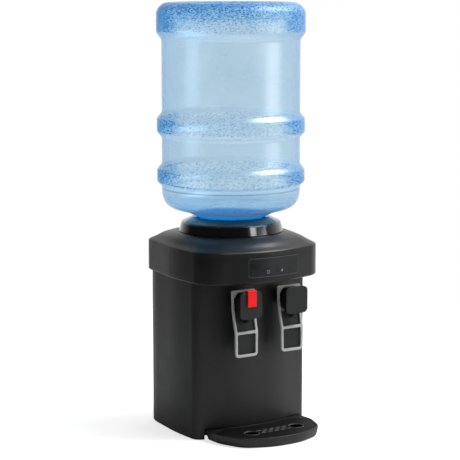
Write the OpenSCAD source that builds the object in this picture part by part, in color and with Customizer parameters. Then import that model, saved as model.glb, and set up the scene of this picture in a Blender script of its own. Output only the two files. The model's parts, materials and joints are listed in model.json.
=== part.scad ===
// Countertop water dispenser: a moulded housing with hot and cold push taps, a drip tray,
// an electronically cooled tank, a heated tank, and an upturned 19 litre bottle on top.
// Millimetres, +Z up, front towards -Y, origin on the floor under the centre of the whole.

/* [Bottle] */
// Diameter over the moulded bands
bottle_d = 268.8; // [262:0.2:274]
// Diameter of the smooth wall between the bands
bottle_wall_d = 250.4; // [244:0.2:256]
// Height of the upturned bottle's flat base above the floor
bottle_top = 776; // [770:1:782]
// Wall thickness
bottle_wall = 1.5; // [1.2:0.1:2]
// Outer radius of the neck
neck_r = 28; // [27:0.5:29]

/* [Head] */
// Half width of the head at its widest
head_half_w = 129.5; // [127:0.5:132]
// Distance of the head's front from the bottle's axis
head_front = 137.3; // [135:0.1:140]
// Distance of the head's back from the bottle's axis
head_back = 133.5; // [131:0.5:136]
// Height of the head's lower edge
head_low = 285.6; // [284:0.1:287]
// Height where the collar stands on the head
head_high = 363; // [361:0.5:365]

/* [Body] */
// Half width of the body at its widest
body_half_w = 120.5; // [118:0.5:122]
// Distance of the body's front from the bottle's axis
body_front = 90.5; // [89:0.5:92]
// Distance of the body's back from the bottle's axis
body_back = 121; // [120:0.5:122]
// Thickness of the moulded walls
wall = 2.5; // [2:0.1:3]

/* [Taps] */
// Distance of each tap from the middle
tap_x = 49.5; // [48:0.5:52]
// Height of the taps' centres
tap_h = 249; // [247:0.5:251]
// Distance of the tap's face from the bottle's axis
tap_face = 138; // [137:0.5:140]
// Width of the lever's frame
lever_w = 50; // [49:0.5:51]
// Distance of the nozzle from the bottle's axis
nozzle_reach = 122.5; // [122:0.5:123]

/* [Tray] */
// Distance of the tray's front from the bottle's axis
tray_front = 186; // [180:1:190]
// Half width of the tray
tray_half_w = 103.5; // [100:0.5:103.5]
// Height of the tray's top
tray_h = 19; // [18.5:0.5:19]

/* [Hidden] */
$fn = 64;
ARC_STEP = 6;
axis_y = (tray_front - head_back) / 2;
foot_h = 4;
body_low = 3;
body_high = 292;
gap = 0.3;
slack = 0.05;

// tanks
cold_r = 62;
cold_low = 196;
cold_high = 306;
jacket_r = 77;
hot_x = -42;
hot_y = 18;
hot_r = 45;
hot_low = 62;
hot_high = 158;
shelf_low = 186;

// cooling stack, in distances behind the bottle's axis
stack_h = 245;
block_back = 74;
sink_front = 78;
sink_back = 100;
fan_front = 100.5;
fan_back = 115.5;
fan_r = 37.5;
shaft_r = 1.5;

// rear fittings
panel_y = body_back + 0.1;
panel_t = 1;
panel_half_w = 69;
panel_low = 20;
panel_high = 282;
inlet_at = [25, 110];
switches_at = [[-25, 150], [5, 150]];
rocker_tilt = 7;
drain_at = [-42, 45];

// tap geometry
pivot_y = -111.5;
pivot_h = 262;
pin_r = 1.2;
base_half_w = 19.4;
base_half_h = 19;
base_front = tap_face - 7;
base_back = 108;
chamber_r = 6;
seat_h = 234;
lever_top = 274;
lever_low = 154.7;
crossbar = [195.8, 200.7];
bar = 4.7;
lever_t = 4;

// drip tray
tub_start = -95;
tray_back = -60;
bay_back = -56;
bay_high = 20.5;

// ---- outlines ----

function unit(v) = v / norm(v);
function xy(c) = [c.x, c.y];

// The arc that rounds the corner p between a and b with radius r
function corner_arc(a, p, b, r) =
    let (u = unit(a - p), w = unit(b - p), half = acos(u * w) / 2,
         mid = p + unit(u + w) * r / sin(half),
         start = p + u * r / tan(half) - mid, stop = p + w * r / tan(half) - mid,
         from = atan2(start.y, start.x), swing = atan2(stop.y, stop.x) - from,
         turn = swing > 180 ? swing - 360 : swing < -180 ? swing + 360 : swing,
         n = max(2, ceil(abs(turn) / ARC_STEP)))
    [for (i = [0:n]) mid + r * [cos(from + turn * i / n), sin(from + turn * i / n)]];

// A closed outline from corners given as [x, y, radius]
function rounded(c) =
    let (n = len(c))
    [for (i = [0:n - 1]) each corner_arc(xy(c[(i + n - 1) % n]), xy(c[i]), xy(c[(i + 1) % n]), c[i].z)];

// Right-hand corners, front to back, and their mirror images
function both_sides(half) =
    concat(half, [for (i = [len(half) - 1:-1:0]) [-half[i].x, half[i].y, half[i].z]]);

// The outline moved inwards by d, or outwards where d is negative
function inset(p, d) =
    let (n = len(p))
    [for (i = [0:n - 1])
        let (t = unit(p[(i + 1) % n] - p[(i + n - 1) % n])) p[i] + d * [-t.y, t.x]];

// The outline with points added so that no side is longer than the limit
function divided(p, longest) =
    let (n = len(p))
    [for (i = [0:n - 1])
        let (a = p[i], b = p[(i + 1) % n], count = ceil(norm(b - a) / longest))
        for (k = [0:count - 1]) a + (b - a) * k / count];

body_outline = rounded(both_sides([
    [40, -body_front, 180],
    [body_half_w, 25.2 - body_front, 18],
    [body_half_w, 0, 400],
    [body_half_w - 17.7, body_back, 30]]));
head_outline = divided(rounded(both_sides([
    [31, -head_front, 200],
    [head_half_w - 1, 30.3 - head_front, 50],
    [head_half_w, -5, 400],
    [head_half_w - 24.3, head_back, 37]])), 10);
tray_outline = rounded(both_sides([
    [30, -tray_front, 110],
    [tray_half_w - 19.5, 23 - tray_front, 45],
    [tray_half_w, -112, 60],
    [tray_half_w, tray_back, 3]]));

// ---- shared shapes ----

module at_axis() {
    translate([0, axis_y, 0]) children();
}

module slab(outline, low, high) {
    translate([0, 0, low]) linear_extrude(high - low) polygon(outline);
}

// A ring of revolution about the bottle's axis from radius a to b
module ring(a, b, low, high) {
    translate([0, 0, low]) difference() {
        cylinder(r = b, h = high - low);
        translate([0, 0, -1]) cylinder(r = a, h = high - low + 2);
    }
}

// A cylinder along Y from front to back through the point [x, z]
module along_y(at, r, front, back) {
    translate([at.x, front, at.y]) rotate([-90, 0, 0]) cylinder(r = r, h = back - front);
}

// An outline in X and Z, given thickness from front to back
module facing(front, back) {
    translate([0, back, 0]) rotate([90, 0, 0]) linear_extrude(back - front) children();
}

// A rectangle centred at c, of size s, with corners of radius r
module round_rect(c, s, r) {
    polygon(rounded([
        [c.x - s.x / 2, c.y - s.y / 2, r], [c.x + s.x / 2, c.y - s.y / 2, r],
        [c.x + s.x / 2, c.y + s.y / 2, r], [c.x - s.x / 2, c.y + s.y / 2, r]]));
}

// A solid ring whose section is a closed run of loops, each a list of [x, y, z]
module looped(loops) {
    m = len(loops);
    n = len(loops[0]);
    polyhedron([for (l = loops) each l],
        [for (k = [0:m - 1], i = [0:n - 1])
            let (a = k * n, b = (k + 1) % m * n, j = (i + 1) % n)
            each [[a + i, b + i, b + j], [a + i, b + j, a + j]]],
        convexity = 6);
}

// Points along a smooth curve that passes through every point of p
function smooth_path(p, steps = 5) =
    let (n = len(p))
    concat([for (i = [0:n - 2], k = [0:steps - 1])
        let (a = p[max(i - 1, 0)], b = p[i], c = p[i + 1], d = p[min(i + 2, n - 1)], t = k / steps)
        (2 * b + t * (c - a) + t * t * (2 * a - 5 * b + 4 * c - d)
            + t * t * t * (3 * b - a - 3 * c + d)) / 2], [p[n - 1]]);

// A round hose of radius r swept along a smooth curve through the points
module hose(points, r) {
    sides = 10;
    path = smooth_path(points);
    n = len(path);
    rings = [for (i = [0:n - 1])
        let (t = unit(path[min(i + 1, n - 1)] - path[max(i - 1, 0)]),
             side = unit(cross(t, abs(t.x) < 0.9 ? [1, 0, 0] : [0, 1, 0])),
             up = cross(side, t))
        [for (k = [0:sides - 1]) let (turn = 360 * k / sides)
            path[i] + r * (cos(turn) * side + sin(turn) * up)]];
    walls = [for (i = [0:n - 2], k = [0:sides - 1])
        let (a = i * sides, b = a + sides, j = (k + 1) % sides)
        each [[a + k, b + k, b + j], [a + k, b + j, a + j]]];
    near_end = [for (k = [0:sides - 1]) k];
    far_end = [for (k = [sides - 1:-1:0]) (n - 1) * sides + k];
    polyhedron([for (ring_points = rings) each ring_points], concat([near_end], walls, [far_end]),
        convexity = 6);
}

// ---- housing ----

module body_shell() color("#2f3033") at_axis() {
    inner = inset(body_outline, wall);
    difference() {
        slab(body_outline, body_low, body_high);
        slab(inner, body_low - 1, body_high + 1);
        translate([-tray_half_w - 0.8, -body_front - 10, -1])
            cube([2 * tray_half_w + 1.6, 40, bay_high + 1]);
        translate([-62, body_back - 10, 26]) cube([124, 20, 250]);
        for (s = [-1, 1]) along_y([s * tap_x, tap_h], 10.6, -body_front - 5, -60);
        for (at = rear_screw_places()) along_y(at, 1.6, body_back - 10, body_back + 5);
    }
    // ledges that carry the shelf
    intersection() {
        slab(inset(body_outline, 1), shelf_low - 8, shelf_low - 0.1);
        for (s = [-1, 1]) {
            translate([s * body_half_w - 10, -30, 0]) cube([20, 24, 400]);
            translate([s * (body_half_w - 12) - 10, 60, 0]) cube([20, 24, 400]);
        }
    }
}

function rear_screw_places() =
    [for (s = [-1, 1], h = [panel_low + 3, (panel_low + panel_high) / 2, panel_high - 3])
        [s * (panel_half_w - 3.5), h]];

module base_plate() color("#3a3b3d") at_axis() {
    inner = inset(body_outline, wall + gap);
    difference() {
        union() {
            intersection() {
                slab(inner, foot_h, foot_h + 2.5);
                translate([-150, bay_back, 0]) cube([300, 300, 50]);
            }
            intersection() {
                slab(inner, foot_h, bay_high + 3);
                translate([-150, bay_back, 0]) cube([300, 2.5, 50]);
            }
            intersection() {
                slab(inner, bay_high + 1, bay_high + 3);
                translate([-150, -150, 0]) cube([300, 150 + bay_back + 1, 50]);
            }
        }
        for (f = foot_places()) translate([f.x, f.y, 0]) cylinder(r = 1.7, h = 20);
    }
}

function foot_places() = [for (s = [-1, 1]) each [[s * 98, -38], [s * 82, 92]]];

module feet() color("#161616") at_axis()
    for (f = foot_places()) translate([f.x, f.y, 0]) difference() {
        union() {
            cylinder(r = 9, h = 2.5);
            translate([0, 0, 2.5]) cylinder(r1 = 9, r2 = 7.5, h = 1.5);
        }
        translate([0, 0, -1]) cylinder(r = 1.7, h = 6);
        translate([0, 0, -1]) cylinder(r = 4, h = 2.6);
    }

module foot_screws() color("#b5b7ba") at_axis()
    for (f = foot_places()) translate([f.x, f.y, 0]) {
        translate([0, 0, 0.4]) cylinder(r = 3.4, h = 1.2);
        translate([0, 0, 1.5]) cylinder(r = 1.5, h = 9);
        translate([0, 0, 6.6]) cylinder(r = 3, h = 2.4, $fn = 6);
    }

module mid_shelf() color("#4a4c50") at_axis()
    difference() {
        slab(inset(body_outline, wall + gap), shelf_low, shelf_low + 2.5);
        translate([-tap_x, -66, 0]) cylinder(r = 7, h = 400);
        translate([-20, 10, 0]) cylinder(r = 8, h = 400);
        translate([0, 96, shelf_low - 1]) cylinder(r = 14, h = 5);
    }

module cover_floor() color("#2f3033") at_axis()
    difference() {
        slab(inset(head_outline, wall + gap), 288, 290);
        slab(inset(body_outline, -gap), 280, 300);
    }

// Loops of the head: the outline drawn in by f of the way to the circle that carries the collar
function head_loop(outline, f, h) =
    [for (p = outline) let (q = p + (95 * unit(p) - p) * f) [q.x, q.y, h]];

module top_cover() color("#2d2e31") at_axis() {
    inner = inset(head_outline, wall);
    rim = [for (p = head_outline) 84 * unit(p)];
    looped([
        head_loop(inset(head_outline, 2), 0, head_low),
        head_loop(inset(head_outline, 0.5), 0, head_low + 1),
        head_loop(head_outline, 0, head_low + 3),
        head_loop(head_outline, 0, head_high - 29),
        head_loop(inset(head_outline, 1.2), 0, head_high - 24),
        head_loop(inset(head_outline, 4), 0, head_high - 20.5),
        head_loop(inset(head_outline, 4), 0.18, head_high - 14.5),
        head_loop(inset(head_outline, 4), 0.42, head_high - 7.5),
        head_loop(inset(head_outline, 4), 0.7, head_high - 2.2),
        head_loop(head_outline, 1, head_high),
        [for (p = rim) [p.x, p.y, head_high]],
        [for (p = rim) [p.x, p.y, head_high - wall]],
        head_loop(inner, 1, head_high - wall),
        head_loop(inset(head_outline, 4), 0.7, head_high - 2.2 - wall),
        head_loop(inset(head_outline, 4), 0.42, head_high - 7.5 - wall),
        head_loop(inset(head_outline, 5.5), 0.15, head_high - 17.5 - wall),
        head_loop(inset(head_outline, 4.5), 0, head_high - 22.5 - wall),
        head_loop(inner, 0, head_high - 29),
        head_loop(inner, 0, head_low)]);
}

module control_panel() color("#26272a") at_axis()
    intersection() {
        difference() {
            slab(inset(head_outline, -0.85), 290, 340);
            slab(inset(head_outline, -slack), 280, 350);
        }
        facing(-head_front - 5, -100) round_rect([1, 314], [104, 34], 4);
    }

lamp_places = [[-13, 306], [17, 306]];

module panel_lamps() color("#d8e4ea") at_axis()
    for (at = lamp_places) along_y(at, 1.8, -head_front - 1.4, -head_front - 0.9);

module indicator_board() color("#1f6b3a") at_axis() {
    facing(-head_front + 6, -head_front + 7.6) round_rect([2, 306], [54, 20], 2);
    for (at = lamp_places) along_y(at, 1.5, -head_front + 4.3, -head_front + 6.1);
}

module rear_panel() color("#a9abad") at_axis()
    difference() {
        facing(panel_y, panel_y + panel_t)
            round_rect([0, (panel_low + panel_high) / 2], [2 * panel_half_w, panel_high - panel_low], 5);
        for (i = [-4:4], h = [stack_h - 20, stack_h + 20])
            translate([i * 9 - 2, panel_y - 1, h - 17]) cube([4, 4, 34]);
        for (at = rear_screw_places()) along_y(at, 1.7, panel_y - 1, panel_y + 5);
        for (at = switches_at) translate([at.x - 6.6, panel_y - 1, at.y - 9.8]) cube([13.2, 4, 19.6]);
        translate([inlet_at.x - 13.8, panel_y - 1, inlet_at.y - 10.3]) cube([27.6, 4, 20.6]);
        along_y(drain_at, 8.4, panel_y - 1, panel_y + 5);
    }

module rear_screws() color("#c3c5c8") at_axis()
    for (at = rear_screw_places()) {
        along_y(at, 3.2, panel_y + panel_t + slack, panel_y + panel_t + 1.8);
        along_y(at, 1.5, panel_y - 8, panel_y + panel_t + 1);
    }

// ---- water path ----

module funnel() color("#e8e8e4") at_axis()
    rotate_extrude() polygon([[34.5, 309.5], [37, 309.5], [37, 323.6], [80, 354.6], [80, 357.5],
        [78.4, 357.5], [34.5, 325.6]]);

module feed_probe() color("#dfe5e8") at_axis() {
    ring(6.5, 9.5, 281, 332);
    ring(55, 59.4, 281, 284);
    for (a = [30:120:270]) rotate([0, 0, a]) translate([8.5, -3, 281]) cube([47.5, 6, 3]);
}

module tank_lid() color("#e8e8e4") at_axis() ring(34.8, cold_r + 2.5, cold_high + 0.1, cold_high + 3.3);

module cold_tank() color("#d9dde0") at_axis()
    difference() {
        union() {
            translate([0, 0, cold_low]) cylinder(r = cold_r, h = cold_high - cold_low);
            translate([-20, 10, cold_low - 8]) cylinder(r = 5, h = 9);
            along_y([30, 206], 5, -73, -45);
        }
        translate([0, 0, cold_low + 2]) cylinder(r = cold_r - 2, h = 200);
        translate([-20, 10, cold_low - 9]) cylinder(r = 3, h = 20);
        along_y([30, 206], 3, -75, -40);
    }

module cold_jacket() color("#f2f2ee") at_axis()
    difference() {
        ring(cold_r + gap, jacket_r, cold_low + 2, cold_high - 2);
        translate([-24, 40, stack_h - 24]) cube([48, 50, 48]);
        along_y([30, 206], 6, -100, -40);
    }

module baffle() color("#e4e7e9") at_axis() {
    ring(6, cold_r - 2 - gap, 236, 238);
    ring(4, 6.5, 204, 238);
}

module cold_block() color("#c9ccd0") at_axis()
    difference() {
        translate([-20, 52, stack_h - 20]) cube([40, block_back - 52, 40]);
        translate([0, 0, stack_h - 30]) cylinder(r = cold_r + gap / 2, h = 60);
    }

module peltier() color("#f0efe9") at_axis()
    translate([-20, block_back + slack, stack_h - 20])
        cube([40, sink_front - block_back - 2 * slack, 40]);

module heat_sink() color("#b9bcc0") at_axis() {
    translate([-40, sink_front, stack_h - 40]) cube([80, 5, 80]);
    for (i = [0:10]) translate([-40 + 7.85 * i, sink_front + 4, stack_h - 40])
        cube([1.5, sink_back - sink_front - 4, 80]);
}

module fan_frame() color("#1b1b1d") at_axis()
    difference() {
        union() {
            facing(fan_front, fan_back) difference() {
                round_rect([0, stack_h], [80, 80], 4);
                translate([0, stack_h]) circle(fan_r);
            }
            facing(fan_back - 2, fan_back) translate([0, stack_h]) {
                circle(15);
                for (a = [45, 135]) rotate(a) square([2 * fan_r + 2, 4], center = true);
            }
        }
        for (x = [-36, 36], z = [-36, 36]) along_y([x, stack_h + z], 2, fan_front - 1, fan_back + 1);
        along_y([0, stack_h], shaft_r + slack, fan_front, fan_back + 1);
    }

module fan_rotor() color("#232326") at_axis() {
    along_y([0, stack_h], 14, fan_front + 1.5, fan_back - 3);
    along_y([0, stack_h], shaft_r, fan_back - 4, fan_back - 0.3);
    for (a = [0:360 / 7:359]) translate([0, (fan_front + fan_back) / 2 - 1, stack_h])
        rotate([0, a, 0]) translate([12, 0, 0]) rotate([38, 0, 0]) translate([0, -0.7, -7])
            cube([fan_r - 14, 1.4, 14]);
}

module hot_tank() color("#c4c7ca") at_axis()
    translate([hot_x, hot_y, 0]) difference() {
        union() {
            translate([0, 0, hot_low]) cylinder(r = hot_r, h = hot_high - hot_low);
            translate([0, 0, hot_low - 8]) cylinder(r = 5, h = 9);
        }
        translate([0, 0, hot_low + 1.2]) cylinder(r = hot_r - 1.2, h = 200);
        translate([0, 0, hot_low - 9]) cylinder(r = 3, h = 20);
    }

hot_out = [12, -22];
hot_in = [-8, 14];

module hot_tank_lid() color("#c4c7ca") at_axis()
    translate([hot_x, hot_y, hot_high + slack]) difference() {
        union() {
            cylinder(r = hot_r, h = 2);
            for (p = [hot_out, hot_in]) translate([p.x, p.y, 0]) cylinder(r = 5, h = 10);
        }
        for (p = [hot_out, hot_in]) translate([p.x, p.y, -1]) cylinder(r = 3, h = 20);
    }

module hot_jacket() color("#8d8f92") at_axis()
    translate([hot_x, hot_y, 0]) ring(hot_r + gap, hot_r + 10, 114, hot_high - 2);

module band_heater() color("#9a8f7a") at_axis()
    translate([hot_x, hot_y, 0]) {
        ring(hot_r + 0.1, hot_r + 3, 76, 108);
        translate([hot_r + 2, -10, 84]) cube([8, 20, 16]);
    }

module thermostats() color("#d8cfb8") at_axis()
    for (p = [[18, 14], [-14, -16]]) translate([hot_x + p.x, hot_y + p.y, hot_high + 2.1]) {
        cylinder(r = 8, h = 6);
        translate([-6, -1.5, 5]) cube([12, 3, 6]);
    }

module hot_tank_stand() color("#7d8083") at_axis()
    translate([hot_x, hot_y, 0]) {
        ring(12, hot_r, hot_low - 3.1, hot_low - 0.1);
        for (a = [30:120:270]) rotate([0, 0, a]) translate([36, 0, foot_h + 2.6])
            cylinder(r = 4, h = hot_low - 3 - foot_h - 2.6);
    }

module power_board() color("#2f6b3f") at_axis() {
    translate([22, -40, 16]) cube([84, 70, 1.6]);
    for (x = [27, 98], y = [-29, 25]) translate([x, y, foot_h + 2.6]) cylinder(r = 2.5, h = 9.4);
}

module board_parts() color("#c9a24a") at_axis() {
    translate([30, -30, 17.7]) cube([34, 28, 26]);
    for (y = [-28, -14, 0]) translate([80, y, 17.7]) cylinder(r = 5.5, h = 20);
    translate([68, 10, 17.7]) cube([26, 8, 24]);
}

// ---- rear fittings ----

module mains_inlet() color("#1d1d1f") at_axis() {
    difference() {
        union() {
            facing(panel_y + panel_t + slack, panel_y + panel_t + 2) round_rect(inlet_at, [36, 27], 3);
            facing(panel_y - 17, panel_y + panel_t + 1) round_rect(inlet_at, [27, 20], 2);
        }
        facing(panel_y - 14, panel_y + 10) round_rect(inlet_at, [24.2, 16.6], 2);
    }
    for (p = [[0, 3.5], [-7, -1.5], [7, -1.5]])
        translate([inlet_at.x + p.x - 1, panel_y - 15, inlet_at.y + p.y - 2]) cube([2, 13, 4]);
}

module switch_housings() color("#1d1d1f") at_axis()
    for (at = switches_at) difference() {
        union() {
            facing(panel_y + panel_t + slack, panel_y + panel_t + 1.6) round_rect(at, [16, 22.5], 1);
            facing(panel_y - 13, panel_y + panel_t + 1) round_rect(at, [12.8, 19.2], 1);
        }
        facing(panel_y - 9, panel_y + 10) round_rect(at, [10.8, 17.2], 0.5);
    }

// A rocker that stands tilted on its pivot, with its off end pressed in
module rocker(at) {
    at_axis() translate([at.x, panel_y - 1, at.y]) rotate([rocker_tilt, 0, 0]) {
        translate([-5, -3.5, -7.6]) cube([10, 7.4, 15.2]);
        translate([-5.2, 0, 0]) rotate([0, 90, 0]) cylinder(r = 1.2, h = 10.4);
    }
}

module heat_rocker() color("#c8202a") rocker(switches_at[0]);

module cool_rocker() color("#2a7ab8") rocker(switches_at[1]);

module drain_valve() color("#e6e6e2") at_axis()
    difference() {
        union() {
            along_y(drain_at, 8, panel_y - 9, panel_y + 9);
            along_y(drain_at, 11, panel_y + panel_t + slack, panel_y + panel_t + 2);
            along_y(drain_at, 5, panel_y - 24, panel_y - 8);
        }
        along_y(drain_at, 3, panel_y - 25, panel_y + 10);
    }

module drain_cap() color("#b9bbbd") at_axis()
    difference() {
        along_y(drain_at, 10.5, panel_y + panel_t + 2.3, panel_y + 11.5);
        along_y(drain_at, 8.3, panel_y, panel_y + 9.3);
    }

// The way down from a tap's tail, on side s
function tap_drop(s) = [[s * tap_x, -71.5, tap_h], [s * tap_x, -66, tap_h],
    [s * (tap_x + 2.5), -61, tap_h - 3], [s * (tap_x + 5.5), -58, tap_h - 9],
    [s * (tap_x + 7), -57.5, tap_h - 17]];

module hoses() color("#cfd6d8") at_axis() {
    lid_port = hot_high + 10.3;
    hose(concat(tap_drop(1), [[56, -60, 224], [52.5, -65.5, 217.5], [47.5, -73, 212.5],
        [42.5, -79, 208.5], [37, -82, 206.5], [32.2, -80.5, 206], [30, -76.5, 206],
        [30, -73.3, 206]]), 3);
    hose(concat(tap_drop(-1), [[-57, -58.5, 221], [-56, -60.5, 210], [-53, -64, 200],
        [-50, -65, 190], [-46, -58, 181], [-38, -42, 177], [-32, -22, 177.5],
        [hot_x + hot_out.x, hot_y + hot_out.y - 5, 177],
        [hot_x + hot_out.x, hot_y + hot_out.y, lid_port + 4.7],
        [hot_x + hot_out.x, hot_y + hot_out.y, lid_port]]), 3);
    hose([[-20, 10, cold_low - 8.3], [-20, 10, 183], [-22, 11.5, 179], [-27, 15, 177],
        [-34, 20.5, 177], [-41, 26, 177.5], [-46.5, 30, 176],
        [hot_x + hot_in.x, hot_y + hot_in.y, lid_port + 4.2],
        [hot_x + hot_in.x, hot_y + hot_in.y, lid_port]], 3);
    hose([[hot_x, hot_y, hot_low - 8.3], [hot_x, hot_y, 49.5], [hot_x, hot_y + 3, 45.7],
        [hot_x, hot_y + 9, 44.5], [hot_x, hot_y + 20, drain_at.y], [hot_x, hot_y + 35, drain_at.y],
        [drain_at.x, panel_y - 39, drain_at.y], [drain_at.x, panel_y - 31, drain_at.y],
        [drain_at.x, panel_y - 24.3, drain_at.y]], 3);
}

// ---- taps ----

module eight_sided(half_w, half_h, cut) {
    polygon([[-half_w, -half_h + cut], [-half_w + cut, -half_h], [half_w - cut, -half_h],
        [half_w, -half_h + cut], [half_w, half_h - cut], [half_w - cut, half_h],
        [-half_w + cut, half_h], [-half_w, half_h - cut]]);
}

module tap_body(x) {
    at_axis() translate([x, 0, 0]) difference() {
        union() {
            facing(-base_front, -base_back) translate([0, tap_h])
                eight_sided(base_half_w, base_half_h, 9);
            along_y([0, tap_h], 10, -base_back - 0.5, -72);
            along_y([0, tap_h], 15, -95, -91.5);
        }
        translate([0, -nozzle_reach, 0]) cylinder(r = chamber_r, h = 262);
        along_y([0, tap_h], 3, -nozzle_reach, -70);
        translate([-30, pivot_y, pivot_h]) rotate([0, 90, 0]) cylinder(r = pin_r, h = 60);
    }
}

module hot_tap_body() color("#26282b") tap_body(-tap_x);

module cold_tap_body() color("#26282b") tap_body(tap_x);

module tap_cap(x) {
    at_axis() translate([x, 0, 0]) facing(-tap_face, -base_front - slack) round_rect([0, tap_h], [47, 48], 8);
}

module hot_tap_cap() color("#3a3c3f") difference() {
    tap_cap(-tap_x);
    at_axis() translate([-tap_x, 0, 0]) {
        translate([-10.2, -tap_face - 1, tap_h + 20.3]) cube([20.4, 20, 10]);
        translate([-5.4, -tap_face + 1.6, tap_h + 8.6]) cube([10.8, 4.6, 20]);
    }
}

module cold_tap_cap() color("#3a3c3f") tap_cap(tap_x);

module nozzles() color("#151517") at_axis()
    for (x = [-tap_x, tap_x]) translate([x, -nozzle_reach, 0]) difference() {
        union() {
            translate([0, 0, 216.3]) cylinder(r = 4, h = 12);
            translate([0, 0, 226]) cylinder(r = chamber_r - slack, h = 6);
        }
        translate([0, 0, 210]) cylinder(r = 2.5, h = 30);
    }

module tap_nuts() color("#d5d7d9") at_axis()
    for (x = [-tap_x, tap_x]) difference() {
        translate([x, -78.8, tap_h]) rotate([-90, 0, 0]) cylinder(r = 17, h = 6, $fn = 6);
        along_y([x, tap_h], 10 + slack, -80, -72);
    }

module pivot_pins() color("#c9cbce") at_axis()
    for (x = [-tap_x, tap_x]) translate([x - 24.4, pivot_y, pivot_h]) rotate([0, 90, 0])
        cylinder(r = pin_r - 0.01, h = 48.8);

module plunger(x) {
    at_axis() translate([x, -nozzle_reach, 0]) {
        translate([0, 0, seat_h]) cylinder(r = chamber_r - gap, h = 10);
        translate([0, 0, seat_h + 9]) cylinder(r = 1.8, h = 14);
    }
}

module hot_plunger() color("#e9e4da") plunger(-tap_x);

module cold_plunger() color("#e9e4da") plunger(tap_x);

module plunger_spring(x) {
    at_axis() translate([x, -nozzle_reach, 0]) ring(2.6, 4.2, seat_h + 10.2, 261.8);
}

module hot_spring() color("#a9acb0") plunger_spring(-tap_x);

module cold_spring() color("#a9acb0") plunger_spring(tap_x);

// Side view of the lever's front face as [y, z], from the top down
lever_front = [[-113.5, lever_top], [-114.5, 250], [-117, 228], [-121.5, 208], [-124, 197.5],
    [-124.3, lever_low]];

// The band that lies from near to far behind the lever's front face, between two heights
module lever_band(near, far, width) {
    n = len(lever_front);
    translate([-width / 2, 0, 0]) rotate([90, 0, 90]) linear_extrude(width)
        polygon(concat([for (p = lever_front) p + [near, 0]],
            [for (i = [n - 1:-1:0]) lever_front[i] + [far, 0]]));
}

module lever(x) {
    at_axis() translate([x, 0, 0]) difference() {
        union() {
            intersection() {
                lever_band(0, lever_t, lever_w);
                facing(-140, -100) polygon(rounded([
                    [-lever_w / 2 + 1.5, lever_low, 7], [lever_w / 2 - 1.5, lever_low, 7],
                    [lever_w / 2, lever_top, 3], [-lever_w / 2, lever_top, 3]]));
            }
            for (s = [-1, 1]) translate([s * (lever_w / 2 - bar / 2 + 0.1) - bar / 2 + 0.1, pivot_y, pivot_h])
                rotate([0, 90, 0]) cylinder(r = 1.95, h = bar - 0.2);
        }
        facing(-140, -100) polygon(rounded([
            [-lever_w / 2 + bar + 1, crossbar[1], 2], [lever_w / 2 - bar - 1, crossbar[1], 2],
            [lever_w / 2 - bar, 245, 20], [lever_w / 2 - bar, 260, 2],
            [11.5, 269.6, 2], [-11.5, 269.6, 2], [-lever_w / 2 + bar, 260, 2],
            [-lever_w / 2 + bar, 245, 20]]));
        facing(-140, -100) polygon(rounded([
            [-lever_w / 2 + bar + 1.5, lever_low + bar, 4], [lever_w / 2 - bar - 1.5, lever_low + bar, 4],
            [lever_w / 2 - bar - 1, crossbar[0], 3], [-lever_w / 2 + bar + 1, crossbar[0], 3]]));
        translate([-30, pivot_y, pivot_h]) rotate([0, 90, 0]) cylinder(r = pin_r + slack, h = 60);
    }
}

module hot_lever() color("#b4b6b8") lever(-tap_x);

module cold_lever() color("#b4b6b8") lever(tap_x);

module lever_plate(x) {
    at_axis() translate([x, 0, 0]) intersection() {
        lever_band(lever_t + slack, lever_t + 1.7, 45);
        facing(-140, -100) round_rect([0, (226 + 157) / 2], [45, 226 - 157], 2);
    }
}

module hot_lever_plate() color("#303234") lever_plate(-tap_x);

module cold_lever_plate() color("#303234") lever_plate(tap_x);

module lock_tab() color("#f0303c") at_axis() translate([-tap_x, 0, 0]) {
    facing(-tap_face - 3.2, -tap_face - 0.3) round_rect([0, tap_h + 12.5], [19, 29], 2);
    translate([-9.5, -tap_face - 1, tap_h + 24.3]) cube([19, 8.6, 2.7]);
    translate([-5, -tap_face + 2, tap_h + 12]) cube([10, 3.8, 13]);
}

// ---- drip tray ----

module drip_tray() color("#303134") at_axis()
    difference() {
        union() {
            slab(tray_outline, 10, tray_h);
            intersection() {
                slab(tray_outline, 1, 11);
                translate([-150, tub_start - 150, 0]) cube([300, 150, 30]);
            }
        }
        difference() {
            slab(inset(tray_outline, 2.4), tray_h - 2.1, tray_h + 1);
            slab(inset(body_outline, -0.6), 0, 30);
        }
        difference() {
            slab(inset(tray_outline, 5), 3, tray_h);
            translate([-150, tub_start - 2.5, 0]) cube([300, 100, 30]);
        }
    }

module drip_grille() color("#232427") at_axis()
    difference() {
        slab(inset(tray_outline, 2.7), tray_h - 2, tray_h);
        slab(inset(body_outline, -1), 0, 30);
        for (s = [-1, 1]) translate([s * 48.5, -138, 0]) cylinder(r = 13, h = 50);
        for (row = [-1, 0, 1], i = [-2:2])
            if (row != 0 || i < 2)
                translate([i * 14 + (row == 0 ? 7 : 0) - 4.5, -138 + row * 8 - 1.5, 0]) cube([9, 3, 50]);
    }

// ---- bottle and its seat ----

module bottle_collar() color("#111214") at_axis()
    rotate_extrude() polygon([[94.7, head_high + gap], [90.6, 379.5], [90, 380.9], [88.6, 381.6],
        [68.2, 390.2], [66.6, 390.3], [64.8, 389.2], [62.8, 387], [62.6, 374], [65, 374],
        [65, 386], [66.8, 387.8], [79, 382.8], [79, 359.5], [81.4, 359.5], [81.4, 381.7],
        [87.4, 379.1], [88.4, 378.2], [92.2, head_high + gap]]);

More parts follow.
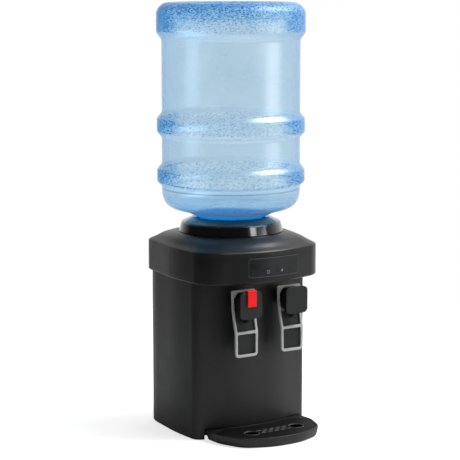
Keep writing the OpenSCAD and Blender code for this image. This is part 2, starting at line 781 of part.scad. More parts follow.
// Outer profile of the bottle as [radius, height], from its base down to the mouth
function bottle_profile() =
    let (band = bottle_d / 2, skin = bottle_wall_d / 2)
    concat(
        [[108, bottle_top], [114.5, bottle_top - 1.6]],
        [for (a = [60:-20:0]) [band - 16 + 16 * cos(a), bottle_top - 22 + 18 * sin(a)]],
        band_edge(band, skin, 724, 706),
        band_edge(skin, band - 0.4, 581, 564),
        band_edge(band - 0.4, skin, 548, 531.5),
        band_edge(skin, band - 0.7, 489, 471.5),
        band_edge(band - 0.7, skin, 455, 439),
        [for (a = [-8:-11:-63]) [skin - 30 + 30 * cos(a), 440 + 30 * sin(a)]],
        [[74, 394.6], [42, 378.4]],
        [for (a = [63:-21:0]) [neck_r + 12 - 12 * cos(a), 363.5 + 12 * sin(a)]],
        [[neck_r, 293.4]]);

// A smooth S from one radius and height to another
function band_edge(r0, r1, z0, z1) =
    [for (t = [0:0.2:1]) [r0 + (r1 - r0) * (1 - cos(180 * t)) / 2, z0 + (z1 - z0) * t]];

module bottle() color("#7fb6e8", 0.5) at_axis() {
    outer = bottle_profile();
    n = len(outer);
    base = bottle_top - 4;
    rotate_extrude() polygon(concat([[0, base], [96, base]], outer,
        [for (i = [n - 1:-1:1]) inner_point(outer, i)],
        [[97, base - bottle_wall], [0, base - bottle_wall]]));
}

// The point on the inside of the wall that faces point i of the outer profile
function inner_point(p, i) =
    let (n = len(p), t = unit(p[min(i + 1, n - 1)] - p[i - 1]))
    i == n - 1 ? [p[i].x - bottle_wall, p[i].y] : p[i] + bottle_wall * [t.y, -t.x];

module bottle_cap() color("#e9edf0") at_axis()
    difference() {
        translate([0, 0, 290]) cylinder(r = 30.6, h = 22);
        translate([0, 0, 293]) cylinder(r = neck_r + slack, h = 30);
        translate([0, 0, 280]) cylinder(r = 10.3, h = 40);
    }

body_shell();
base_plate();
feet();
foot_screws();
mid_shelf();
cover_floor();
top_cover();
control_panel();
panel_lamps();
indicator_board();
rear_panel();
rear_screws();
funnel();
feed_probe();
tank_lid();
cold_tank();
cold_jacket();
baffle();
cold_block();
peltier();
heat_sink();
fan_frame();
fan_rotor();
hot_tank();
hot_tank_lid();
hot_jacket();
band_heater();
thermostats();
hot_tank_stand();
power_board();
board_parts();
mains_inlet();
switch_housings();
heat_rocker();
cool_rocker();
drain_valve();
drain_cap();
hoses();
hot_tap_body();
cold_tap_body();
hot_tap_cap();
cold_tap_cap();
nozzles();
tap_nuts();
pivot_pins();
hot_plunger();
cold_plunger();
hot_spring();
cold_spring();
hot_lever();
cold_lever();
hot_lever_plate();
cold_lever_plate();
lock_tab();
drip_tray();
drip_grille();
bottle_collar();
bottle();
bottle_cap();
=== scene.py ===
import contextlib
import json
import math

import bmesh
import bpy
from mathutils import Matrix, Vector


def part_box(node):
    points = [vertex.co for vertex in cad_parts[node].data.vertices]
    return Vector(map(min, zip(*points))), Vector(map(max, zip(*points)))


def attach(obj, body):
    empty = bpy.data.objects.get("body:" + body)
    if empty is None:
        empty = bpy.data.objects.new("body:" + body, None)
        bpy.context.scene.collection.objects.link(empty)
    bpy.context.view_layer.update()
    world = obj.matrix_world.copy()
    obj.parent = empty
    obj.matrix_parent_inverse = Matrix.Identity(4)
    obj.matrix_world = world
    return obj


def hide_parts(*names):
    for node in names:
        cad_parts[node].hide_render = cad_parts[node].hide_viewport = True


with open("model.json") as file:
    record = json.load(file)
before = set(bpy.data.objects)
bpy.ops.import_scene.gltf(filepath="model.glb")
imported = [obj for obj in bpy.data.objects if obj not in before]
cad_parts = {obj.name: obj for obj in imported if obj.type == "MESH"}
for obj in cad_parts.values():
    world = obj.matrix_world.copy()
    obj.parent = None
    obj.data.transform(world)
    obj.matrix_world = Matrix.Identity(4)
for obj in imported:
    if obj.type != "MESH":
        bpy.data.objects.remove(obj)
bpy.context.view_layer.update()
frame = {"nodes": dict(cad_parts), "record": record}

# The looks of a countertop water dispenser. Lengths are in millimetres from the bottle's axis, with the front
# towards -Y, until place() turns them into metres in the row frame.

MM = 0.001
ARC_STEP = 3.0  # degrees between the points of an outline's arcs
TURN_STEPS = 160  # faces round a large turned piece


# ---- sizes, read from the frame ----

ring_low, ring_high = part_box("bottle_collar")
AXIS = Vector(((ring_low[0] + ring_high[0]) / 2, (ring_low[1] + ring_high[1]) / 2, 0.0))


def span(node):
    """Lowest and highest corner of a CAD node, in millimetres from the bottle's axis."""
    low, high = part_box(node)
    return (Vector(low) - AXIS) / MM, (Vector(high) - AXIS) / MM


def place(p):
    """A point in millimetres from the bottle's axis, in metres in the row frame."""
    return Vector(p) * MM + AXIS


body_low, body_high = span("body_shell")
head_low, head_high = span("top_cover")
collar_low = span("bottle_collar")[0]
bottle_low, bottle_high = span("bottle")
tray_low, tray_high = span("drip_tray")
grille_low, grille_high = span("drip_grille")
panel_low, panel_high = span("control_panel")
cap_low, cap_high = span("cold_tap_cap")
base_low, base_high = span("cold_tap_body")
lever_low, lever_high = span("cold_lever")
plate_low, plate_high = span("cold_lever_plate")
tab_low, tab_high = span("lock_tab")
nozzle_low, nozzle_high = span("nozzles")
rear_low, rear_high = span("rear_panel")
feet_high = span("feet")[1]

WALL = 2.5
BODY_W = body_high.x
BODY_FRONT = body_low.y
BODY_BACK = body_high.y
HEAD_W = head_high.x
HEAD_FRONT = head_low.y
HEAD_BACK = head_high.y
TRAY_W = tray_high.x
TRAY_FRONT = tray_low.y
TRAY_BACK = tray_high.y
TRAY_TOP = tray_high.z
TAP_X = (cap_low.x + cap_high.x) / 2
TAP_H = (cap_low.z + cap_high.z) / 2
BAND = bottle_high.x
CASING_DROP = 2.4  # how much lower than in the CAD the casing's edge is drawn
TRAY_DROP = 0.6  # how much lower than in the CAD the tray's underside is drawn


# ---- outlines ----


def corner_arc(before, corner, after, radius, step=ARC_STEP):
    """The arc that rounds a corner between its two neighbours."""
    a, p, b = Vector(before), Vector(corner), Vector(after)
    u, w = (a - p).normalized(), (b - p).normalized()
    half = math.acos(max(-1.0, min(1.0, u.dot(w)))) / 2
    middle = p + (u + w).normalized() * radius / math.sin(half)
    start = p + u * radius / math.tan(half) - middle
    stop = p + w * radius / math.tan(half) - middle
    begin = math.atan2(start.y, start.x)
    swing = math.atan2(stop.y, stop.x) - begin
    swing = (swing + math.pi) % (2 * math.pi) - math.pi
    count = max(2, math.ceil(abs(math.degrees(swing)) / step))
    angles = [begin + swing * i / count for i in range(count + 1)]
    return [middle + radius * Vector((math.cos(t), math.sin(t))) for t in angles]


def rounded(corners, step=ARC_STEP):
    """A closed outline from corners given as (x, y, radius)."""
    n = len(corners)
    points = []
    for i, (x, y, r) in enumerate(corners):
        before, after = corners[i - 1][:2], corners[(i + 1) % n][:2]
        points += corner_arc(before, (x, y), after, r, step) if r > 0 else [Vector((x, y))]
    return points


def both_sides(half):
    """Right-hand corners and their mirror images."""
    return half + [(-x, y, r) for x, y, r in reversed(half)]


def divided(points, longest):
    """The outline with its long edges cut into equal lengths no longer than the given one."""
    out = []
    for a, b in zip(points, points[1:] + points[:1]):
        count = max(1, math.ceil((b - a).length / longest))
        out += [a.lerp(b, i / count) for i in range(count)]
    return out


def inset(points, distance):
    """The outline moved inwards, or outwards where the distance is negative."""
    n = len(points)
    moved = []
    for i, p in enumerate(points):
        t = (points[(i + 1) % n] - points[i - 1]).normalized()
        moved.append(p + distance * Vector((-t.y, t.x)))
    return moved


def rectangle(cx, cy, width, height, radius, step=12.0):
    x, y = width / 2, height / 2
    return rounded([(cx - x, cy - y, radius), (cx + x, cy - y, radius),
                    (cx + x, cy + y, radius), (cx - x, cy + y, radius)], step)


def circle(cx, cy, radius):
    turns = [2 * math.pi * i / 48 for i in range(48)]
    return [Vector((cx + radius * math.cos(t), cy + radius * math.sin(t))) for t in turns]


def inside(point, outline):
    """True if the point lies in the closed outline."""
    hit = False
    for a, b in zip(outline, outline[1:] + outline[:1]):
        if (a.y > point.y) != (b.y > point.y):
            if point.x < a.x + (b.x - a.x) * (point.y - a.y) / (b.y - a.y):
                hit = not hit
    return hit


def smooth(points, steps=4):
    """Points on a smooth open curve that passes through every point given."""
    rows = [Vector(p) for p in points]
    n = len(rows)
    out = []
    for i in range(n - 1):
        a, b, c, d = rows[max(i - 1, 0)], rows[i], rows[i + 1], rows[min(i + 2, n - 1)]
        for k in range(steps):
            t = k / steps
            out.append((2 * b + t * (c - a) + t * t * (2 * a - 5 * b + 4 * c - d)
                        + t ** 3 * (3 * b - a - 3 * c + d)) / 2)
    return out + [rows[-1]]


body_outline = rounded(both_sides([
    (40, BODY_FRONT, 180), (BODY_W, BODY_FRONT + 25.2, 18),
    (BODY_W, 0, 400), (BODY_W - 13.5, 93, 120), (BODY_W - 24, BODY_BACK, 20)]))
head_outline = divided(rounded(both_sides([
    (31, HEAD_FRONT, 200), (HEAD_W - 1, HEAD_FRONT + 30.3, 50),
    (HEAD_W, -5, 400), (HEAD_W - 24.3, HEAD_BACK, 37)])), 8)
tray_outline = rounded(both_sides([
    (30, TRAY_FRONT, 110), (TRAY_W - 19.5, TRAY_FRONT + 23, 45),
    (TRAY_W, -112, 60), (TRAY_W, TRAY_BACK, 3)]))


# ---- meshes ----


@contextlib.contextmanager
def edited(mesh):
    """The mesh opened for editing, and written back at the end."""
    bm = bmesh.new()
    bm.from_mesh(mesh)
    yield bm
    bm.to_mesh(mesh)
    bm.free()


def linked(name, data):
    """A new object in the scene."""
    item = bpy.data.objects.new(name, data)
    bpy.context.scene.collection.objects.link(item)
    return item


def baked(item):
    """The mesh of an object with its modifiers applied. The object itself goes."""
    bpy.context.view_layer.update()
    mesh = bpy.data.meshes.new_from_object(item.evaluated_get(bpy.context.evaluated_depsgraph_get()))
    bpy.data.objects.remove(item)
    return mesh


def new_piece(name, mesh, body, replaces=(), sharp=35.0):
    """A finished object on a body of the frame, with smooth faces and with sharp edges above an angle."""
    with edited(mesh) as bm:
        bmesh.ops.remove_doubles(bm, verts=bm.verts, dist=1e-6)
        bmesh.ops.dissolve_degenerate(bm, edges=bm.edges, dist=1e-7)
        bmesh.ops.recalc_face_normals(bm, faces=bm.faces)
        limit = math.radians(sharp)
        for face in bm.faces:
            face.smooth = True
        for edge in bm.edges:
            edge.smooth = len(edge.link_faces) == 2 and edge.calc_face_angle(0.0) < limit
    piece = linked(name, mesh)
    normals = piece.modifiers.new("even_shading", "WEIGHTED_NORMAL")
    normals.keep_sharp = True
    normals.weight = 80
    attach(piece, body)
    if replaces:
        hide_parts(*replaces)
    return piece


def mesh_of(rows, faces):
    mesh = bpy.data.meshes.new("mesh")
    mesh.from_pydata([place(p) for p in rows], [], faces)
    return mesh


def layers(outline, rows):
    """Loops for lofted(): the outline moved in by a distance at a height, for each (distance, height)."""
    return [[Vector((p.x, p.y, h)) for p in inset(outline, d)] for d, h in rows]


def lofted(loops, ring=False):
    """A closed mesh through loops of equal length: a capped tube, or a ring that closes on itself."""
    n, m = len(loops[0]), len(loops)
    rows = [p for loop in loops for p in loop]
    faces = []
    for k in range(m if ring else m - 1):
        a, b = k * n, (k + 1) % m * n
        faces += [(a + i, a + (i + 1) % n, b + (i + 1) % n, b + i) for i in range(n)]
    if not ring:
        faces += [tuple(range(n))[::-1], tuple((m - 1) * n + i for i in range(n))]
    return mesh_of(rows, faces)


def turned(profile, centre=(0, 0, 0), along="z", steps=TURN_STEPS):
    """A closed outline of (radius, height) points turned about an axis along Z or Y."""
    n = len(profile)
    rows, faces = [], []
    for i in range(steps):
        t = 2 * math.pi * i / steps
        for r, h in profile:
            x, y = max(r, 0.0) * math.cos(t), max(r, 0.0) * math.sin(t)
            p = (x, y, h) if along == "z" else (x, h, y)
            rows.append(Vector(centre) + Vector(p))
    for i in range(steps):
        a, b = i * n, (i + 1) % steps * n
        faces += [(a + k, b + k, b + (k + 1) % n, a + (k + 1) % n) for k in range(n)]
    return mesh_of(rows, faces)


TURNS = {
    "front": Matrix(((1, 0, 0), (0, 0, -1), (0, 1, 0))),  # drawn in X and Z, thick along Y
    "side": Matrix(((0, 0, 1), (1, 0, 0), (0, 1, 0))),  # drawn in Y and Z, thick along X
    "top": Matrix.Identity(3),  # drawn in X and Y, thick along Z
}


def plate(outlines, near, far, edge, drawn="front", rounds=3):
    """A plate with rounded edges between two depths. The first outline is its rim, the others are holes."""
    curve = bpy.data.curves.new("plate", "CURVE")
    curve.dimensions = "2D"
    curve.fill_mode = "BOTH"
    curve.extrude = (far - near) / 2 - edge
    curve.bevel_depth = edge
    curve.bevel_resolution = rounds
    curve.offset = -edge
    for points in outlines:
        spline = curve.splines.new("POLY")
        spline.points.add(len(points) - 1)
        for target, p in zip(spline.points, points):
            target.co = (p[0], p[1], 0, 1)
        spline.use_cyclic_u = True
    mesh = baked(linked("plate", curve))
    bpy.data.curves.remove(curve)
    depth = (near + far) / 2
    shift = {"front": (0, depth, 0), "side": (depth, 0, 0), "top": (0, 0, depth)}[drawn]
    for v in mesh.vertices:
        v.co = place(TURNS[drawn] @ v.co + Vector(shift))
    with edited(mesh) as bm:
        bmesh.ops.remove_doubles(bm, verts=bm.verts, dist=2e-6)
        bmesh.ops.recalc_face_normals(bm, faces=bm.faces)
    return mesh


def bent(mesh, axis, places, offset):
    """The mesh cut at places along X or Z, then moved along Y by offset(x or z), to follow a curved face."""
    normal = Vector((0, 0, 0))
    normal[axis] = 1
    with edited(mesh) as bm:
        for at in places:
            bmesh.ops.bisect_plane(bm, geom=bm.verts[:] + bm.edges[:] + bm.faces[:],
                                   plane_co=place(at * normal), plane_no=normal, dist=1e-7)
        for v in bm.verts:
            v.co.y += offset((v.co[axis] - AXIS[axis]) / MM) * MM
    return mesh


def joined(*meshes):
    """Several meshes as one."""
    out = bpy.data.meshes.new("joined")
    with edited(out) as bm:
        for mesh in meshes:
            bm.from_mesh(mesh)
    return out


def without(mesh, others):
    """The mesh with others cut out of it."""
    holder = linked("base", mesh)
    tools = [linked(f"tool_{i}", other) for i, other in enumerate(others)]
    for tool in tools:
        cut = holder.modifiers.new(tool.name, "BOOLEAN")
        cut.operation = "DIFFERENCE"
        cut.solver = "EXACT"
        cut.object = tool
    out = baked(holder)
    for tool in tools:
        bpy.data.objects.remove(tool)
    return out


def block(low, high):
    """A plain box, used only to cut with."""
    low, high = place(low), place(high)
    mesh = bpy.data.meshes.new("block")
    with edited(mesh) as bm:
        bmesh.ops.create_cube(bm, size=1.0)
        for v in bm.verts:
            v.co = Vector([(low[k] + high[k]) / 2 + v.co[k] * (high[k] - low[k]) for k in range(3)])
    return mesh


# ---- materials ----


def linear(red, green, blue):
    """Linear colour from sRGB values of 0 to 255."""
    def one(c):
        c /= 255
        return c / 12.92 if c <= 0.04045 else ((c + 0.055) / 1.055) ** 2.4
    return (one(red), one(green), one(blue), 1.0)


def shade(colour, factor, lift=0.0):
    """The colour made lighter or darker."""
    return tuple(min(1.0, c * factor + lift) for c in colour[:3]) + (1.0,)


DUST = (0.5, 0.49, 0.47, 1.0)
GREY_DUST = (0.5, 0.5, 0.5, 1.0)
BARE_EDGE = (0.9, 0.9, 0.9, 1.0)


class Nodes:
    """The node tree of a material or a world that is being put together."""

    def __init__(self, owner):
        owner.use_nodes = True
        self.tree = owner.node_tree
        self.tree.nodes.clear()

    def add(self, kind, inputs=None, **settings):
        node = self.tree.nodes.new("ShaderNode" + kind)
        for key, value in settings.items():
            setattr(node, key, value)
        for key, value in (inputs or {}).items():
            if isinstance(value, bpy.types.NodeSocket):
                self.tree.links.new(value, node.inputs[key])
            else:
                node.inputs[key].default_value = value
        return node

    def ramp(self, value, low, high, out_low=0.0, out_high=1.0):
        """value mapped from low..high to out_low..out_high, clamped."""
        node = self.add("MapRange", {"Value": value, "From Min": low, "From Max": high, "To Min": out_low,
                                     "To Max": out_high})
        return node.outputs[0]


class Surface(Nodes):
    """A material that works in the object's own coordinates."""

    def __init__(self, name):
        self.material = bpy.data.materials.new(name)
        super().__init__(self.material)
        self.out = self.add("OutputMaterial")
        self.coords = self.add("TexCoord").outputs["Object"]

    def noise(self, size, detail=3.0, roughness=0.55, stretch=None):
        """Noise with features of a size in millimetres, from 0 to 1."""
        at = self.coords
        if stretch:
            at = self.add("Mapping", {"Vector": at, "Scale": stretch}).outputs[0]
        node = self.add("TexNoise", {"Vector": at, "Scale": 1 / (size * MM), "Detail": detail,
                                     "Roughness": roughness})
        return node.outputs[0]

    def cells(self, size, at=None):
        """Distance to the nearest of scattered points that lie about a size in millimetres apart."""
        at = self.coords if at is None else at
        return self.add("TexVoronoi", {"Vector": at, "Scale": 1 / (size * MM)}).outputs["Distance"]

    def blend(self, factor, first, second):
        """The first colour where the factor is 0, the second where it is 1."""
        return self.add("Mix", {0: factor, 6: first, 7: second}, data_type="RGBA").outputs[2]

    def math(self, operation, first, second=0.0):
        return self.add("Math", {0: first, 1: second}, operation=operation).outputs[0]

    def axis(self, letter):
        return self.add("SeparateXYZ", {0: self.coords}).outputs[letter.upper()]

    def bump(self, height, depth, strength=1.0, under=None):
        inputs = {"Height": height, "Distance": depth * MM, "Strength": strength}
        if under:
            inputs["Normal"] = under
        return self.add("Bump", inputs).outputs[0]

    def edges(self):
        """0 on flats and hollows, up to 1 on convex edges, which rubbing and painted edge highlights make
        lighter.
        """
        return self.ramp(self.add("NewGeometry").outputs["Pointiness"], 0.505, 0.56)

    def finish(self, shader):
        self.tree.links.new(shader, self.out.inputs["Surface"])
        return self.material

    def principled(self, inputs):
        return self.finish(self.add("BsdfPrincipled", inputs).outputs[0])


def moulded(name, colour, rough=0.42, variation=0.18, grain=0.5, grain_depth=0.03, wear_and_edge_sheen=0.25, coat=0.0,
            dust=0.03, specular=0.4):
    """Moulded plastic: fine grain, cloudy gloss, a little dust in patches and lighter convex edges, from
    rubbing and, on the head's cover, as a painted highlight.
    """
    s = Surface(name)
    cloud = s.noise(38, 4.0)
    fine = s.noise(grain, 2.0)
    streak = s.noise(9, 3.0, stretch=(1, 1, 0.25))
    light = shade(colour, 1 + variation, 0.0015)
    base = s.blend(s.ramp(cloud, 0.3, 0.7), shade(colour, 1 - variation), light)
    base = s.blend(s.ramp(streak, 0.35, 0.75, 0.0, 0.35), base, light)
    specks = s.ramp(s.noise(0.9, 1.0), 0.66, 0.74, 0.0, dust)
    base = s.blend(specks, base, DUST)
    # lighter convex edges: rubbing, and on the head's cover also a painted highlight
    edge_wear_and_sheen = s.math("MULTIPLY", s.edges(), s.ramp(s.noise(6, 3.0), 0.35, 0.65))
    base = s.blend(s.math("MULTIPLY", edge_wear_and_sheen, wear_and_edge_sheen), base, shade(colour, 1.6, 0.02))
    gloss = s.math("ADD", s.ramp(cloud, 0.25, 0.75, rough - 0.05, rough + 0.05),
                   s.ramp(fine, 0.3, 0.7, -0.03, 0.04))
    normal = s.bump(fine, grain_depth, 0.55)
    normal = s.bump(cloud, 0.25, 0.12, normal)
    return s.principled({
        "Base Color": base, "Roughness": gloss, "Normal": normal, "Specular IOR Level": specular,
        "Coat Weight": coat, "Coat Roughness": 0.2})


def metal(name, colour, rough=0.3, brushed=(1, 1, 12)):
    """Sheet or turned metal with brush lines, faint stains and brighter edges."""
    s = Surface(name)
    lines = s.noise(0.8, 4.0, 0.7, stretch=brushed)
    stain = s.noise(22, 5.0)
    base = s.blend(s.ramp(stain, 0.45, 0.75, 0.0, 0.25), colour, shade(colour, 0.72))
    base = s.blend(s.ramp(lines, 0.3, 0.7, 0.0, 0.3), base, shade(colour, 1.12))
    base = s.blend(s.math("MULTIPLY", s.edges(), 0.5), base, BARE_EDGE)
    gloss = s.math("ADD", s.ramp(lines, 0.2, 0.8, rough - 0.08, rough + 0.1),
                   s.ramp(stain, 0.5, 0.8, 0.0, 0.12))
    return s.principled({
        "Base Color": base, "Metallic": 1.0, "Roughness": gloss, "Normal": s.bump(lines, 0.02, 0.5)})


def foam(name, colour):
    """Closed-cell foam: small pits, uneven tone, no gloss."""
    s = Surface(name)
    pits = s.cells(1.6)
    base = s.blend(s.ramp(s.noise(14, 4.0), 0.3, 0.7), shade(colour, 0.86), colour)
    base = s.blend(s.ramp(pits, 0.0, 0.25, 0.4, 0.0), base, shade(colour, 0.5))
    return s.principled({"Base Color": base, "Roughness": 0.92, "Normal": s.bump(pits, 0.3, 0.8)})


def rubber(name, colour, rough=0.72):
    """Matte rubber with a soft bloom and fine pits."""
    s = Surface(name)
    bloom = s.noise(7, 4.0)
    pits = s.noise(0.35, 2.0)
    base = s.blend(s.ramp(bloom, 0.45, 0.8, 0.0, 0.5), colour, shade(colour, 1.5, 0.02))
    return s.principled({
        "Base Color": base, "Roughness": s.ramp(bloom, 0.3, 0.7, rough - 0.06, rough + 0.1),
        "Normal": s.bump(pits, 0.05, 0.6), "Specular IOR Level": 0.35})


def gloss_black(name):
    """Polished black plastic with hair-fine wipe marks and a trace of dust."""
    s = Surface(name)
    wipes = s.noise(3.5, 5.0, 0.6, stretch=(0.25, 0.25, 2.5))
    cloud = s.noise(30, 3.0)
    base = s.blend(s.ramp(cloud, 0.3, 0.7), linear(9, 9, 10), linear(17, 17, 18))
    base = s.blend(s.ramp(s.noise(0.8, 1.0), 0.68, 0.75, 0.0, 0.08), base, GREY_DUST)
    gloss = s.math("ADD", s.ramp(cloud, 0.3, 0.7, 0.14, 0.18), s.ramp(wipes, 0.5, 0.75, 0.0, 0.07))
    return s.principled({
        "Base Color": base, "Roughness": gloss, "Normal": s.bump(wipes, 0.02, 0.2),
        "Coat Weight": 0.7, "Coat Roughness": 0.1})


PALE, PALER = (0.85, 0.925, 0.972, 1.0), (0.875, 0.94, 0.982, 1.0)  # what the thin wall lets through
EDGE_ON = (0.62, 0.76, 0.89, 1.0)  # what it lets through where it turns away
# painted shade: deep blue below the shoulder, darkest just under it; the mesh wall is no thicker there
SHADED_NECK_BLUE = (0.12, 0.62, 0.9, 1.0)
STIPPLE = (0.5, 0.8, 0.98, 1.0)
FLECK = (0.03, 0.42, 0.82, 1.0)
# painted shade in the ring grooves
GROOVE_SHADE = (0.2, 0.46, 0.72, 1.0)
SHINE = (0.95, 0.98, 1.0, 1.0)
MILK, SHADED_NECK_MILK, FLECK_MILK = (0.6, 0.8, 0.95, 1.0), (0.01, 0.3, 0.72, 1.0), (0.02, 0.33, 0.8, 1.0)
# colour of the painted glow below the shoulder
PAINTED_GLOW = (0.01, 0.38, 0.75, 1.0)


def clear_bottle(name, stippled, shoulder, crown, creases):
    """Thin clear blue polycarbonate, stippled in bands of height, most where a band turns away.

    stippled lists (lowest, highest) heights in millimetres. Under the height of shoulder the wall is painted
    deep blue as shade, darkest just under it, though the mesh wall is no thicker there, and it carries a
    painted glow, emission that stands in for light, growing towards the neck. crown is the (lowest, highest)
    height over which the stipple spreads all round the base. creases lists (height, depth of painted shade)
    of the ring grooves, whose painted shade shows mostly on the wall nearer to the viewer."""
    s = Surface(name)
    height = s.math("DIVIDE", s.axis("z"), MM)
    facing = s.add("LayerWeight", {"Blend": 0.5}).outputs["Facing"]
    turn = s.add("SeparateXYZ", {0: s.add("NewGeometry").outputs["Normal"]}).outputs
    slope = s.math("ABSOLUTE", turn["Z"])
    outward = s.math("ADD", s.math("MULTIPLY", s.axis("x"), turn["X"]),
                     s.math("MULTIPLY", s.math("SUBTRACT", s.axis("y"), AXIS.y), turn["Y"]))
    near_wall = s.ramp(outward, -MM, MM, 0.2, 1.0)
    cloud = s.noise(45, 3.0)
    # the stipple: grains that are wider than they are high, in patches
    grains = s.cells(2.8, s.add("Mapping", {"Vector": s.coords, "Scale": (0.5, 0.5, 1)}).outputs[0])
    speck = s.math("MULTIPLY", s.ramp(grains, 0.3, 0.42, 1.0, 0.0), s.ramp(s.noise(8.0, 2.0), 0.3, 0.46))
    zone = 0.0
    for low, high in stippled:
        band = s.math("MULTIPLY", s.ramp(height, low, low + 3), s.ramp(height, high - 3, high, 1.0, 0.0))
        zone = s.math("MAXIMUM", zone, band)
    turned_away = s.math("MAXIMUM", s.ramp(facing, 0.24, 0.5), s.ramp(height, crown[0], crown[1]))
    where = s.math("MULTIPLY", zone, turned_away)
    fleck = s.math("MULTIPLY", speck, s.math("MAXIMUM", where, s.math("MULTIPLY", zone, 0.2)))
    # painted shade in the ring grooves: a darker blue at the crease heights, stronger on the wall nearer to
    # the viewer
    groove = 0.0
    for at, depth in creases:
        off = s.math("ABSOLUTE", s.math("SUBTRACT", height, at))
        groove = s.math("MAXIMUM", groove, s.ramp(off, 0.5, 1.7, depth, 0.0))
    groove = s.math("MULTIPLY", groove, near_wall)
    # painted shade: mask of the deep blue below the shoulder, darkest just under it and fading upwards; the
    # mesh wall is no thicker there
    thick = s.math("MAXIMUM", s.ramp(height, shoulder - 5, shoulder - 1.5, 1.0, 0.0),
                   s.ramp(height, shoulder - 10, shoulder + 28, 0.3, 0.0))
    # what shines through the wall and off it
    tint = s.blend(s.ramp(cloud, 0.35, 0.7), PALE, PALER)
    tint = s.blend(s.math("POWER", facing, 3.0), tint, EDGE_ON)
    tint = s.blend(s.math("MULTIPLY", thick, 0.95), tint, SHADED_NECK_BLUE)
    tint = s.blend(s.math("MULTIPLY", where, 0.5), tint, STIPPLE)
    tint = s.blend(fleck, tint, FLECK)
    tint = s.blend(groove, tint, GROOVE_SHADE)
    normal = s.bump(s.math("MULTIPLY", grains, zone), 0.5, 0.5)
    normal = s.bump(cloud, 1.2, 0.1, normal)
    clear = s.add("BsdfTransparent", {"Color": tint}).outputs[0]
    rough = s.math("ADD", s.ramp(cloud, 0.3, 0.7, 0.26, 0.32), s.math("MULTIPLY", zone, 0.12))
    gloss = s.add("BsdfGlossy", {"Color": SHINE, "Normal": normal, "Roughness": rough}).outputs[0]
    mirror = s.math("ADD", s.math("MULTIPLY", s.math("POWER", facing, 5.0), 0.5), 0.058)
    wall = s.add("MixShader", {0: mirror, 1: clear, 2: gloss}).outputs[0]
    # the milky part of the wall
    milk = s.blend(fleck, s.blend(thick, MILK, SHADED_NECK_MILK), FLECK_MILK)
    haze = s.add("BsdfDiffuse", {"Color": milk, "Normal": normal}).outputs[0]
    glow = s.add("BsdfTranslucent", {"Color": milk, "Normal": normal}).outputs[0]
    both = s.add("MixShader", {0: 0.6, 1: haze, 2: glow}).outputs[0]
    # painted glow: emission below the shoulder, growing towards the neck, that stands in for light; the
    # bottle is no lamp
    strength = s.math("MULTIPLY", thick, s.ramp(height, 370, 386, 0.05, 0.4))
    painted_glow = s.add("Emission", {"Color": PAINTED_GLOW, "Strength": strength}).outputs[0]
    both = s.add("AddShader", {0: both, 1: painted_glow}).outputs[0]
    amount = s.math("ADD", s.ramp(slope, 0.15, 0.7, 0.02, 0.1), s.math("MULTIPLY", fleck, 0.75))
    amount = s.math("MAXIMUM", amount, s.math("MULTIPLY", where, 0.12))
    amount = s.math("ADD", amount, s.math("MULTIPLY", thick, 0.45))
    return s.finish(s.add("MixShader", {0: amount, 1: wall, 2: both}).outputs[0])


def circuit(name):
    """Green circuit board with tracks and pads."""
    s = Surface(name)
    grid = s.add("TexBrick", {"Vector": s.coords, "Scale": 160.0, "Mortar Size": 0.06, "Row Height": 0.35})
    tracks = grid.outputs["Fac"]
    base = s.blend(tracks, linear(22, 92, 52), linear(58, 140, 84))
    base = s.blend(s.ramp(s.cells(5), 0.05, 0.12, 1.0, 0.0), base, linear(196, 190, 170))
    return s.principled({
        "Base Color": base, "Roughness": s.ramp(s.noise(8), 0.3, 0.7, 0.3, 0.42),
        "Normal": s.bump(tracks, 0.05, 0.4)})


def lamp(name):
    """Pale printed sign, faintly lit from behind."""
    s = Surface(name)
    base = s.blend(s.ramp(s.noise(1.2, 2.0), 0.3, 0.7), linear(120, 134, 142), linear(168, 180, 188))
    return s.principled({
        "Base Color": base, "Roughness": 0.3, "Emission Color": base, "Emission Strength": 0.05})


BANDS = [(450, 478), (543, 570), (722, 778)]
CROWN = (732, 770)
